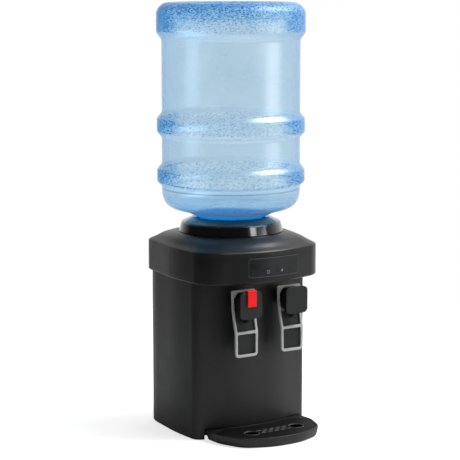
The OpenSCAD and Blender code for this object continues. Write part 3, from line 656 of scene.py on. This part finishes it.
# heights of the ring creases, and how deep the painted shade in them is
CREASES = [(442, 0.38), (749, 0.2)]
SHOULDER = 398.0
looks = {}
for kind, name, colour, settings in (
        (moulded, "housing_black", linear(25, 25, 25), {"rough": 0.44, "specular": 0.36}),
        # the head's cover: its lighter convex edges are partly rubbing and partly a painted highlight along
        # its edges
        (moulded, "cover_black", linear(21, 21, 22), {"wear_and_edge_sheen": 0.35, "specular": 0.26, "coat": 0.25}),
        (rubber, "foot_rubber", linear(24, 24, 24), {}),
        (metal, "zinc_steel", (0.62, 0.63, 0.64, 1.0), {"rough": 0.32}),
        (moulded, "panel_film", linear(28, 29, 32),
         {"rough": 0.3, "grain": 0.25, "grain_depth": 0.01, "wear_and_edge_sheen": 0.1}),
        (moulded, "rear_steel", linear(52, 52, 54), {"rough": 0.5, "grain": 0.9, "grain_depth": 0.06}),
        (moulded, "food_white", linear(226, 226, 220), {"rough": 0.4, "variation": 0.05, "dust": 0.02}),
        (metal, "stainless", (0.60, 0.61, 0.62, 1.0), {"rough": 0.24}),
        (foam, "foam_white", (0.86, 0.86, 0.82, 1.0), {}),
        (metal, "aluminium", (0.74, 0.75, 0.77, 1.0), {"rough": 0.34, "brushed": (12, 1, 1)}),
        (moulded, "ceramic_white", linear(226, 220, 206), {"rough": 0.55, "variation": 0.06}),
        (moulded, "fan_black", linear(22, 22, 23), {"rough": 0.5}),
        (foam, "foam_grey", (0.3, 0.3, 0.31, 1.0), {}),
        (metal, "heater_mica", (0.46, 0.38, 0.28, 1.0), {"rough": 0.5}),
        (moulded, "board_parts", linear(196, 150, 62), {"rough": 0.3, "variation": 0.3}),
        (moulded, "rocker_red", linear(196, 22, 28), {"rough": 0.25, "variation": 0.12, "wear_and_edge_sheen": 0.15}),
        (moulded, "rocker_blue", linear(28, 92, 168), {"rough": 0.25, "variation": 0.12, "wear_and_edge_sheen": 0.15}),
        (rubber, "silicone", (0.62, 0.65, 0.66, 1.0), {"rough": 0.45}),
        (moulded, "tap_black", linear(31, 32, 32),
         {"rough": 0.62, "grain": 0.6, "grain_depth": 0.05, "wear_and_edge_sheen": 0.15, "specular": 0.3}),
        (moulded, "lever_grey", linear(176, 177, 178), {"rough": 0.38, "variation": 0.07, "wear_and_edge_sheen": 0.2}),
        (moulded, "tab_red", linear(255, 10, 20),
         {"variation": 0.05, "wear_and_edge_sheen": 0.06, "dust": 0.01, "specular": 0.25}),
        (moulded, "grille_black", linear(12, 12, 12), {"rough": 0.6, "wear_and_edge_sheen": 0.3, "specular": 0.1}),
        (moulded, "cap_white", linear(214, 220, 226), {"variation": 0.05, "dust": 0.02})):
    looks[name] = kind(name, colour, **settings)
looks["lamp_white"] = lamp("lamp_white")
looks["board_green"] = circuit("board_green")
looks["collar_black"] = gloss_black("collar_black")
looks["bottle_blue"] = clear_bottle("bottle_blue", BANDS, SHOULDER, CROWN, CREASES)
# painted shade: a darker copy of the black plastic for the taps' shells and valve housings, the nozzles and
# the tray's sunk basin
shaded_black = moulded("shaded_black", linear(8, 8, 8), rough=0.6, wear_and_edge_sheen=0.05, dust=0.01, specular=0.2)
# painted highlight: lighter grey for the lips round the grille's holes and slots
lip_highlight_grey = moulded("lip_highlight_grey", linear(84, 84, 82), rough=0.45, variation=0.12, wear_and_edge_sheen=0.3)

for row in frame["record"]["subparts"]:
    node = frame["nodes"][row["node"]]
    node.data.materials.clear()
    node.data.materials.append(looks[row["material_slot"]])


def make(name, mesh, body, slot, replaces=(), sharp=35.0, look=None):
    """A piece with the look of its slot, or with a look of its own."""
    piece = new_piece(name, mesh, body, replaces, sharp)
    piece.data.materials.clear()
    piece.data.materials.append(look or looks[slot])
    return piece


# ---- bottle ----


def band_edge(r0, r1, z0, z1):
    """A smooth S from one radius and height to another."""
    steps = 7
    out = []
    for i in range(steps + 1):
        t = i / steps
        out.append(Vector((r0 + (r1 - r0) * (1 - math.cos(math.pi * t)) / 2, z0 + (z1 - z0) * t)))
    return out


def arc(cx, cz, radius, start, stop, count, squash=1.0):
    """Points from start to stop degrees on an arc in (radius, height)."""
    turns = [math.radians(start + (stop - start) * i / count) for i in range(count + 1)]
    return [Vector((cx + radius * math.cos(t), cz + radius * squash * math.sin(t))) for t in turns]


def crease(r, z, depth=0.55, half=1.1):
    """A shallow ring groove in a wall of radius r."""
    return [Vector((r, z + half)), Vector((r - depth * 0.8, z + half * 0.4)), Vector((r - depth, z)),
            Vector((r - depth * 0.8, z - half * 0.4)), Vector((r, z - half))]


def bottle_outside():
    """Outer profile of the upturned bottle, from its base down to its mouth."""
    skin = BAND - 9.2  # the wall's radius between the bands
    middle_band, low_band = BAND - 0.4, BAND - 0.7
    top = bottle_high.z
    neck, neck_curve = 28.0, 12
    points = [Vector((r, top - drop)) for r, drop in (
        (0, 8.5), (52, 8.2), (82, 7.2), (90, 5.6), (96, 2.8), (101, 0.9), (105, 0.15))]
    points += arc(BAND - 25, top - 22, 25, 82, 0, 14, 22 / 25)
    points += crease(BAND, top - 27)
    points += band_edge(BAND, skin, top - 52, top - 70)
    points += [Vector((skin, 660)), Vector((skin, 620))]
    points += band_edge(skin, middle_band, 581, 566)
    points += crease(middle_band, 562) + crease(middle_band, 549.5)
    points += band_edge(middle_band, skin, 546, 531.5)
    points += [Vector((skin, 515)), Vector((skin, 500))]
    points += band_edge(skin, low_band, 489, 473)
    points += crease(low_band, 470)
    points += band_edge(low_band, skin + 0.6, 456, 445)
    points += crease(skin + 0.4, CREASES[0][0], 0.9, 1.3)
    points += smooth([
        (skin + 0.2, 439.5), (skin - 0.6, 430), (skin - 3.4, 421), (skin - 8, 413.6), (skin - 14, 408.4),
        (skin - 22, 404.8), (skin - 34, 401.6), (78, 397.2), (60, 388.4), (42, 378.4)], 3)
    for a in (63, 48, 32, 16, 0):
        points.append(Vector((neck + neck_curve - neck_curve * math.cos(math.radians(a)),
                              363.5 + neck_curve * math.sin(math.radians(a)))))
    points += [Vector((neck, 340)), Vector((neck, bottle_low.z))]
    return points


def bottle_solid():
    """The outer profile and the inside of the wall as one closed profile."""
    wall = 1.5
    outer = bottle_outside()
    n = len(outer)
    inner = []
    for i in range(n - 1, -1, -1):
        t = (outer[min(i + 1, n - 1)] - outer[max(i - 1, 0)]).normalized()
        p = outer[i] + wall * Vector((t.y, -t.x))
        inner.append(Vector((max(p.x, 0.0), p.y)))
    inner[0].y = outer[-1].y
    inner[-1].x = 0.0
    return outer + inner


make("bottle_wall", turned(bottle_solid()), "bottle", "bottle_blue", ["bottle"], sharp=60)
skirt = collar_low.z + 4.2
collar_profile = rounded([
    (94.7, skirt, 0.4), (90.8, 379.2, 1.8), (88.4, 381.6, 1.4), (68.2, 390.2, 0.8), (64.8, 389.4, 1.2),
    (62.7, 386.6, 1.2), (62.6, 374, 0.4), (65, 374, 0.4), (65, 386, 1), (66.8, 387.8, 0.5), (79, 382.6, 0.5),
    (79, collar_low.z, 0.5), (81.4, collar_low.z, 0.5), (81.4, 381.4, 0.5), (87.2, 379, 1),
    (88.4, 377.8, 0.6), (92.2, skirt, 0.4)], 18)
make("collar_ring", turned(collar_profile), "collar", "collar_black", ["bottle_collar"])


# ---- head ----


SEAT_RADIUS = 95  # of the circle that carries the collar
MOUTH_RADIUS = 84  # of the opening inside it


def head_loop(distance, blend_in, height):
    """The head's outline moved in by a distance, then drawn towards the circle that carries the collar."""
    loop = []
    for p in inset(head_outline, distance):
        q = p + (SEAT_RADIUS * p.normalized() - p) * blend_in
        loop.append(Vector((q.x, q.y, height)))
    return loop


def head_cover():
    low, high = head_low.z, head_high.z
    outside = smooth([
        (3.2, 0, low), (1.5, 0, low + 0.7), (0.45, 0, low + 2.2), (0, 0, low + 4.4), (0, 0, low + 25),
        (0, 0, high - 25.3), (0.18, 0, high - 23.85), (0.7, 0, high - 22.5), (1.54, 0, high - 21.3),
        (2.56, 0.002, high - 20.4), (3.6, 0.035, high - 18.9), (4.6, 0.18, high - 14.8),
        (4, 0.42, high - 7.9), (4, 0.7, high - 2.6), (2, 0.9, high - 0.5), (0, 1, high)], 3)
    inside_wall = smooth([
        (0, 1, high - WALL), (4, 0.7, high - 2.6 - WALL), (4, 0.42, high - 7.9 - WALL),
        (5.5, 0.15, high - 17.7 - WALL), (4.5, 0, high - 22.7 - WALL), (WALL, 0, high - 30),
        (WALL, 0, low)], 2)
    mouth = [MOUTH_RADIUS * p.normalized() for p in head_outline]
    loops = [head_loop(*row) for row in outside]
    for widened, height in ((1.01, high), (1, high - 1), (1, high - WALL)):
        loops.append([Vector((p.x * widened, p.y * widened, height)) for p in mouth])
    loops += [head_loop(*row) for row in inside_wall]
    return lofted(loops, ring=True)


make("head_cover", head_cover(), "housing", "cover_black", ["top_cover"], sharp=50)


def head_front(x):
    """Depth of the head's front face at x."""
    points = sorted((p for p in head_outline if p.y < -60), key=lambda p: p.x)
    for a, b in zip(points, points[1:]):
        if a.x <= x <= b.x:
            return a.y + (b.y - a.y) * (x - a.x) / max(b.x - a.x, 1e-9)
    return points[0].y


panel_mid = (panel_low + panel_high) / 2
panel_size = panel_high - panel_low
LABEL_WIDER = 4  # how much wider than in the CAD the label is drawn, all of it to the right
head_cuts = [-52 + 4 * i for i in range(27)]


def on_head(outlines, proud, sunk, edge):
    """A thin plate on the head's curved front."""
    return bent(plate(outlines, -proud, sunk, edge), 0, head_cuts, head_front)


def label_outline(grown_x, grown_z, radius):
    """The label's outline, larger than drawn by two amounts."""
    return rectangle(panel_mid.x + LABEL_WIDER / 2, panel_mid.z, panel_size.x + LABEL_WIDER + grown_x,
                     panel_size.z + grown_z, radius)


make("panel_label", on_head([label_outline(0, 0, 4)], 0.6, 0.4, 0.25), "housing", "panel_film",
     ["control_panel"])
# painted highlight: the frame round the label is drawn in a lighter grey for the light line along its edge
make("panel_edge", on_head([label_outline(0.1, 0.1, 4), label_outline(-1.5, -1.5, 3.3)], 0.9, 0.2, 0.2),
     "housing", "cover_black", look=moulded("painted_edge_highlight", linear(74, 76, 79), rough=0.35, variation=0.1))
RING_X, DROP_X, SIGN_Z = -13, 17, 306
drop = []
for i in range(32):
    t = 2 * math.pi * i / 32
    tip = max(0, math.sin(t))  # the upper half narrows to a point
    drop.append(Vector((DROP_X + 1.6 * math.cos(t) * (1 - 0.55 * tip),
                        SIGN_Z + 1.7 * math.sin(t) + 1.7 * tip ** 2)))
signs = [on_head(outlines, 0.85, -0.3, 0.08) for outlines in (
    [circle(RING_X, SIGN_Z, 3.2), circle(RING_X, SIGN_Z, 2.5)], [drop])]
make("panel_signs", joined(*signs), "housing", "lamp_white", ["panel_lamps"])


# ---- body ----


def body_casing():
    """The casing as one wall with a bay for the tray and an opening behind, thickened by a modifier."""
    low, high = body_low.z - CASING_DROP, body_high.z
    bay_x, bay_z = 104.3, 20.5
    door_x, door_low, door_high = 62.0, 26.0, 276.0
    points = []
    for a, b in zip(body_outline, body_outline[1:] + body_outline[:1]):
        points.append(a)
        for x, front in ((bay_x, True), (-bay_x, True), (door_x, False), (-door_x, False)):
            if (a.x - x) * (b.x - x) < 0 and ((a.y + b.y) / 2 < 0) == front:
                points.append(a + (b - a) * (x - a.x) / (b.x - a.x))
    levels = [(1.4, low), (0.5, low + 0.5), (0.0, low + 1.6)]
    levels += [(0.0, h) for h in (12.0, bay_z, door_low, 60.0, 120.0, 180.0, 240.0, door_high, high)]
    n = len(points)
    rows = [p for loop in layers(points, levels) for p in loop]
    faces = []
    for k in range(len(levels) - 1):
        middle = (levels[k][1] + levels[k + 1][1]) / 2
        for i in range(n):
            j = (i + 1) % n
            p = (points[i] + points[j]) / 2
            bay = p.y < 0 and abs(p.x) < bay_x and middle < bay_z
            door = p.y > 0 and abs(p.x) < door_x and door_low < middle < door_high
            if not bay and not door:
                faces.append((k * n + i, k * n + j, (k + 1) * n + j, (k + 1) * n + i))
    mesh = mesh_of(rows, faces)
    with edited(mesh) as bm:
        bmesh.ops.recalc_face_normals(bm, faces=bm.faces)
    holder = linked("casing", mesh)
    thick = holder.modifiers.new("wall", "SOLIDIFY")
    thick.thickness = WALL * MM
    thick.offset = -1
    thick.use_even_offset = True
    soft = holder.modifiers.new("edges", "BEVEL")
    soft.width = 0.6 * MM
    soft.segments = 2
    soft.limit_method = "ANGLE"
    soft.angle_limit = math.radians(50)
    return baked(holder)


make("body_casing", body_casing(), "housing", "housing_black", ["body_shell"], sharp=40)


# ---- taps ----


def eight_sided(cx, w, h, cut, radius):
    """A rectangle of half sizes w and h with its corners cut off, at the height of the taps."""
    return rounded([(cx + x, TAP_H + z, radius) for x, z in (
        (-w, -h + cut), (-w + cut, -h), (w - cut, -h), (w, -h + cut),
        (w, h - cut), (w - cut, h), (-w + cut, h), (-w, h - cut))], 15)


def tap_base(x):
    """The eight-sided valve housing with its stem and flange."""
    front, back = cap_high.y + 0.05, -108.0
    housing = plate([eight_sided(x, (base_high.x - base_low.x) / 2, 19, 9, 1.2)], front, back, 0.8)
    stem_r, flange_r, flange_front, flange_back = 10, 15, -95, -91.4
    stem = rounded([
        (0, back - 2, 0), (stem_r, back - 2, 0), (stem_r, flange_front, 0.4), (flange_r, flange_front, 0.8),
        (flange_r, flange_back, 0.6), (stem_r, flange_back, 0.4), (stem_r, base_high.y, 0.8),
        (0, base_high.y, 0)], 18)
    return joined(housing, turned(stem, (x, 0, TAP_H), "y", 48))


# the cap is drawn as a face and a shell, and the shell takes the darker copy of the black plastic as painted
# shade
FACE_T = 2.4  # thickness of the face that is let into the cap's shell


def tap_cap(x, near, far, tab):
    """The rounded square of a tap between two depths. The hot one has a notch and a slot for its lock tab."""
    low, high = cap_low, cap_high
    mesh = plate([rectangle(x, TAP_H, high.x - low.x, high.z - low.z, 8.5, 6)], near, far, 1.0, rounds=4)
    if not tab:
        return mesh
    notch = block((x - 10.2, low.y - 2, TAP_H + 20.3), (x + 10.2, high.y + 2, TAP_H + 40))
    slot = block((x - 5.4, low.y + 1.6, TAP_H + 8.6), (x + 5.4, low.y + 6.2, TAP_H + 30))
    return without(mesh, [notch, slot])


def follow(profile):
    """Depth at a height on an open line of (depth, height) points from the top down."""
    rows = smooth(profile, 4)

    def depth(z):
        for a, b in zip(rows, rows[1:]):
            if b.y <= z <= a.y:
                return b.x + (a.x - b.x) * (z - b.y) / max(a.y - b.y, 1e-9)
        return rows[0].x if z > rows[0].y else rows[-1].x
    return depth


LEVER_T = 4.0
lever_top, lever_foot = lever_high.z, lever_low.z
lever_front = follow([(-113.5, lever_top), (-114.5, 250), (-117, 228), (-121.5, 208), (-124, 197.5),
                      (-124.3, 180), (-124.3, lever_foot)])
lever_cuts = [lever_foot + 8] + [195 + 2.5 * i for i in range(30)]


def lever_frame(x):
    """The bent frame of a lever with its eight-sided window and its lower window."""
    half, bar = (lever_high.x - lever_low.x) / 2, 4.7
    cross_low, cross_high = 195.8, 200.7
    rim = rounded([(x - half + 1.5, lever_foot, 7), (x + half - 1.5, lever_foot, 7),
                   (x + half, lever_top, 3), (x - half, lever_top, 3)], 10)
    upper = rounded([(x - half + bar + 1, cross_high, 2), (x + half - bar - 1, cross_high, 2),
                     (x + half - bar, 245, 20), (x + half - bar, 260, 2), (x + 11.5, 269.6, 2),
                     (x - 11.5, 269.6, 2), (x - half + bar, 260, 2), (x - half + bar, 245, 20)], 10)
    lower = rounded([(x - half + bar + 1.5, lever_foot + bar, 4), (x + half - bar - 1.5, lever_foot + bar, 4),
                     (x + half - bar - 1, cross_low, 3), (x - half + bar + 1, cross_low, 3)], 10)
    return bent(plate([rim, upper, lower], 0, LEVER_T, 0.9), 2, lever_cuts, lever_front)


def lever_pad(x):
    """The dark plate behind the lever's windows."""
    half = (plate_high.x - plate_low.x) / 2
    middle = (plate_high.z + plate_low.z) / 2
    mesh = plate([rectangle(x, middle, 2 * half, plate_high.z - plate_low.z, 2.5)],
                 LEVER_T + 0.05, LEVER_T + 1.7, 0.4)
    return bent(mesh, 2, lever_cuts, lever_front)


def nozzle(x):
    reach = (nozzle_low.y + nozzle_high.y) / 2
    low, high = nozzle_low.z, nozzle_high.z
    profile = rounded([
        (2.5, low, 0.3), (4.6, low, 0.6), (5.2, low + 2, 0.5), (5.2, high - 6, 0.4), (5.9, high - 5.4, 0.3),
        (5.9, high, 0.3), (2.5, high, 0.3)], 25)
    return turned(profile, (x, reach, 0), "z", 40)


def lock_tab(x):
    """The red tab: a face that folds over the cap's top edge, and its leg in the slot."""
    low, high = tab_low, tab_high
    face_back = low.y + 2.9
    fold = rounded([(low.y, low.z, 1.0), (face_back, low.z, 1.0), (face_back, high.z - 2.8, 0.4),
                    (high.y, high.z - 2.8, 0.8), (high.y, high.z, 1.1), (low.y, high.z, 1.4)], 15)
    leg_front, leg_back, leg_low, leg_high = low.y + 5.4, low.y + 9.0, low.z + 14, high.z - 2
    leg = [(leg_front, leg_low), (leg_back, leg_low), (leg_back, leg_high), (leg_front, leg_high)]
    return joined(plate([fold], x - 9.5, x + 9.5, 1.1, "side", 4), plate([leg], x - 5, x + 5, 0.3, "side"))


for name, x, hot in (("hot", -TAP_X, True), ("cold", TAP_X, False)):
    # painted shade: the valve housing takes the darker copy of the black plastic
    make(f"{name}_tap_base", tap_base(x), "housing", "tap_black", [f"{name}_tap_body"], look=shaded_black)
    seam = cap_low.y + FACE_T
    make(f"{name}_tap_face", tap_cap(x, cap_low.y, seam, hot), "housing", "tap_black", [f"{name}_tap_cap"])
    # painted shade: the cap's shell round its face takes the darker copy of the black plastic
    shell = tap_cap(x, seam - 0.6, cap_high.y, hot)
    make(f"{name}_tap_shell", shell, "housing", "tap_black", look=shaded_black)
    make(f"{name}_lever_frame", lever_frame(x), f"{name}_lever", "lever_grey", [f"{name}_lever"])
    make(f"{name}_lever_pad", lever_pad(x), f"{name}_lever", "tap_black", [f"{name}_lever_plate"])
# painted shade: the nozzles take the darker copy of the black plastic
make("nozzle_pair", joined(nozzle(-TAP_X), nozzle(TAP_X)), "housing", "tap_black", ["nozzles"],
     look=shaded_black)
make("child_lock_tab", lock_tab(-TAP_X), "child_lock", "tab_red", ["lock_tab"])


# ---- drip tray ----


def deck_outline(distance, clearance):
    """The tray's outline moved in, cut off by the body's front."""
    outer = inset(tray_outline, distance)
    wall = inset(body_outline, -clearance)
    ahead = [p for p in outer if not inside(p, wall) and p.y < -70]
    ahead.sort(key=lambda p: math.atan2(p.x, -(p.y + 60)))
    back = sorted((p for p in wall if inside(p, outer) and p.y < -60), key=lambda p: -p.x)
    return ahead + back


BASIN_BACK = -97.5
STEP_GAP = 5  # between the body's front and the deep part of the tray
STEP_HIGH = 9


def tray_pan():
    """The tray: a rounded rim, a sunk deck and a basin, with a step where it runs under the body."""
    low, high = tray_low.z - TRAY_DROP, TRAY_TOP
    solid = lofted(layers(tray_outline, [
        (7, low), (4.8, low + 0.6), (3.2, low + 2), (2.1, low + 4.5), (1.2, low + 8), (0.4, low + 12),
        (0, high - 1.4), (0.2, high - 0.7), (0.6, high - 0.25), (1.1, high)]))
    deck = lofted(layers(deck_outline(2.4, 0.6), [
        (0.0, high - 2.1), (0.0, high - 0.5), (-0.5, high + 0.02), (-0.5, high + 1)]))
    basin_outline = rounded(both_sides([
        (28, TRAY_FRONT + 5.5, 105), (TRAY_W - 24, TRAY_FRONT + 27, 40), (TRAY_W - 6, -110, 50),
        (TRAY_W - 6, BASIN_BACK, 2)]))
    basin = lofted(layers(basin_outline, [(3, 3.0), (1, 3.8), (0, 6), (0, high - 1)]))
    step = lofted(layers(body_outline, [(-STEP_GAP, -5), (-STEP_GAP, STEP_HIGH)]))
    return without(solid, [deck, basin, step])


pan = make("tray_pan", tray_pan(), "tray", "housing_black", ["drip_tray"], sharp=32)
# painted shade: the faces of the sunk basin take the darker copy of the black plastic
pan.data.materials.append(shaded_black)
well = inset(tray_outline, 4)
for face in pan.data.polygons:
    middle = (Vector(face.center) - AXIS) / MM
    sunk = tray_low.z < middle.z < TRAY_TOP - 2.2 and middle.y < BASIN_BACK + 0.5
    if sunk and inside(middle.xy, well) and face.normal.z > -0.5:
        face.material_index = 1


CUP_X, CUP_ROW = 48.5, -138.0
SLOTS = [(i * 14 + (7 if row == 0 else 0), CUP_ROW + row * 8) for row in (-1, 0, 1) for i in range(-2, 3)
         if row or i < 2]


def grille_plate():
    """The tray's deck with two round cup holes and three staggered rows of slots."""
    holes = [circle(side * CUP_X, CUP_ROW, 13) for side in (-1, 1)]
    holes += [rectangle(x, y, 9, 3, 1.45, 30) for x, y in SLOTS]
    return plate([deck_outline(2.7, 1.0)] + holes, grille_low.z, grille_high.z, 0.45, "top")


def grille_lips():
    """The raised lips round the cup holes and the slots."""
    top = grille_high.z
    lips = []
    for side in (-1, 1):
        lip = rounded([(12.6, top - 1.4, 0.4), (14.8, top - 1.4, 0.4), (14.4, top + 0.5, 0.6),
                       (13.1, top + 0.6, 0.6)], 20)
        lips.append(turned(lip, (side * CUP_X, CUP_ROW, 0), "z", 64))
    for x, y in SLOTS:
        lips.append(plate([rectangle(x, y, 10.4, 4.4, 2.15, 30), rectangle(x, y, 9, 3, 1.45, 30)],
                          top - 0.8, top + 0.6, 0.3, "top"))
    return joined(*lips)


make("grille_deck", grille_plate(), "grille", "grille_black", ["drip_grille"])
# painted highlight: the lips take the lighter grey
make("grille_lips", grille_lips(), "grille", "grille_black", look=lip_highlight_grey)


# ---- back and underside ----


def rear_cover():
    """The rear panel with its two rows of vents and the openings for switches, inlet and drain."""
    mid = (rear_low + rear_high) / 2
    vents = [rectangle(i * 9, h, 4, 34, 1.9, 30) for i in range(-4, 5) for h in (225, 265)]
    switches = [rectangle(x, 150, 13.2, 19.6, 1) for x in (-25, 5)]
    inlet, drain = rectangle(25, 110, 27.6, 20.6, 1), circle(-42, 45, 8.4)
    holes = vents + switches + [inlet, drain]
    return plate([rectangle(mid.x, mid.z, rear_high.x - rear_low.x, rear_high.z - rear_low.z, 5)] + holes,
                 rear_low.y, rear_high.y, 0.3)


make("rear_cover", rear_cover(), "housing", "rear_steel", ["rear_panel"])


def foot(x, y):
    top = feet_high.z
    profile = rounded([
        (4, 0, 0.3), (8.6, 0, 0.8), (9, 2.6, 0.5), (7.5, top, 0.4), (1.7, top, 0.3), (1.7, 1.6, 0.2),
        (4, 1.6, 0.2)], 25)
    return turned(profile, (x, y, 0), "z", 48)


feet_at = [(98, -38), (82, 92), (-98, -38), (-82, 92)]
make("rubber_feet", joined(*[foot(x, y) for x, y in feet_at]), "housing", "foot_rubber", ["feet"])


# ---- stage, light and camera ----


def stage_floor(near, far):
    """A pale floor that fades into the white behind it between two distances in metres.

    It glows a little, and more in what the camera sees of it, so that it shows near white."""
    rings, steps = 24, 96
    rows, faces = [(0.0, 0.0, 0.0)], []
    for i in range(1, rings + 1):
        for k in range(steps):
            t = 2 * math.pi * k / steps
            rows.append((far * i / rings * math.cos(t), far * i / rings * math.sin(t), 0.0))
    for k in range(steps):
        faces.append((0, 1 + k, 1 + (k + 1) % steps))
    for i in range(rings - 1):
        for k in range(steps):
            a, b = 1 + i * steps + k, 1 + i * steps + (k + 1) % steps
            faces.append((a, a + steps, b + steps, b))
    mesh = bpy.data.meshes.new("studio_floor")
    mesh.from_pydata(rows, [], faces)
    floor = linked("studio_floor", mesh)
    s = Surface("studio_floor")
    base = s.blend(s.ramp(s.noise(900, 2.0), 0.3, 0.7), (0.94, 0.94, 0.94, 1.0), (0.96, 0.96, 0.96, 1.0))
    strength = s.ramp(s.add("LightPath").outputs["Is Camera Ray"], 0.0, 1.0, 0.14, 0.76)
    matte = s.add("BsdfDiffuse", {"Color": base}).outputs[0]
    glow = s.add("Emission", {"Color": base, "Strength": strength}).outputs[0]
    pale = s.add("AddShader", {0: matte, 1: glow}).outputs[0]
    gone = s.add("BsdfTransparent").outputs[0]
    away = s.add("VectorMath", {0: s.coords}, operation="LENGTH").outputs["Value"]
    fade = s.add("MapRange", {"Value": away, "From Min": near, "From Max": far},
                 interpolation_type="SMOOTHSTEP").outputs[0]
    floor.data.materials.append(s.finish(s.add("MixShader", {0: fade, 1: pale, 2: gone}).outputs[0]))


def soft_light(name, at, target, width, height, power):
    """A soft box at a place in metres that looks at a target."""
    data = bpy.data.lights.new(name, "AREA")
    data.shape = "RECTANGLE"
    data.size, data.size_y, data.energy = width, height, power
    light = linked(name, data)
    light.location = at
    light.rotation_euler = (Vector(target) - Vector(at)).to_track_quat("-Z", "Y").to_euler()


def world_light(seen, dim, bright, towards):
    """White for the camera. For all other light it is dim, and bright towards one compass direction."""
    white = (1, 1, 1, 1)
    world = bpy.data.worlds.new("studio")
    s = Nodes(world)
    across = s.add("VectorMath", {0: s.add("TexCoord").outputs["Generated"], 1: towards},
                   operation="DOT_PRODUCT").outputs["Value"]
    level = s.ramp(across, 0.12, 0.85, dim, bright)
    lit = s.add("Background", {"Color": white, "Strength": level}).outputs[0]
    plain = s.add("Background", {"Color": white, "Strength": seen}).outputs[0]
    for_camera = s.add("LightPath").outputs["Is Camera Ray"]
    s.add("OutputWorld", {"Surface": s.add("MixShader", {0: for_camera, 1: lit, 2: plain}).outputs[0]})
    bpy.context.scene.world = world


stage_floor(0.6, 1.5)
world_light(1.0, 0.05, 0.95, (0.72, 0.69, 0.0))
soft_light("top_box", (1.12, -0.62, 2.2), (0, 0, 0.1), 1.35, 1.2, 55)
soft_light("front_box", (0.64, -1.98, 1.15), (0, 0, 0.4), 0.5, 0.4, 5)
soft_light("right_strip", (1.25, -1.57, 0.53), (0, 0, 0.5), 0.95, 0.66, 7)

CAMERA_TURN, CAMERA_DOWN, CAMERA_DISTANCE = -34.0, 8.18, 3.285  # degrees, degrees and metres
turn, down = math.radians(CAMERA_TURN), math.radians(CAMERA_DOWN)
target = place((0, 0, head_high.z))
away = Vector((math.sin(turn) * math.cos(down), -math.cos(turn) * math.cos(down), math.sin(down)))
camera_data = bpy.data.cameras.new("camera")
camera_data.sensor_width = 36.0
camera_data.lens = 140.9
camera_data.shift_x = -0.002
camera_data.clip_end = 1000
camera = linked("camera", camera_data)
camera.location = target + away * CAMERA_DISTANCE
camera.rotation_euler = (-away).to_track_quat("-Z", "Y").to_euler()
bpy.context.scene.camera = camera
bpy.context.scene.view_settings.view_transform = "Standard"
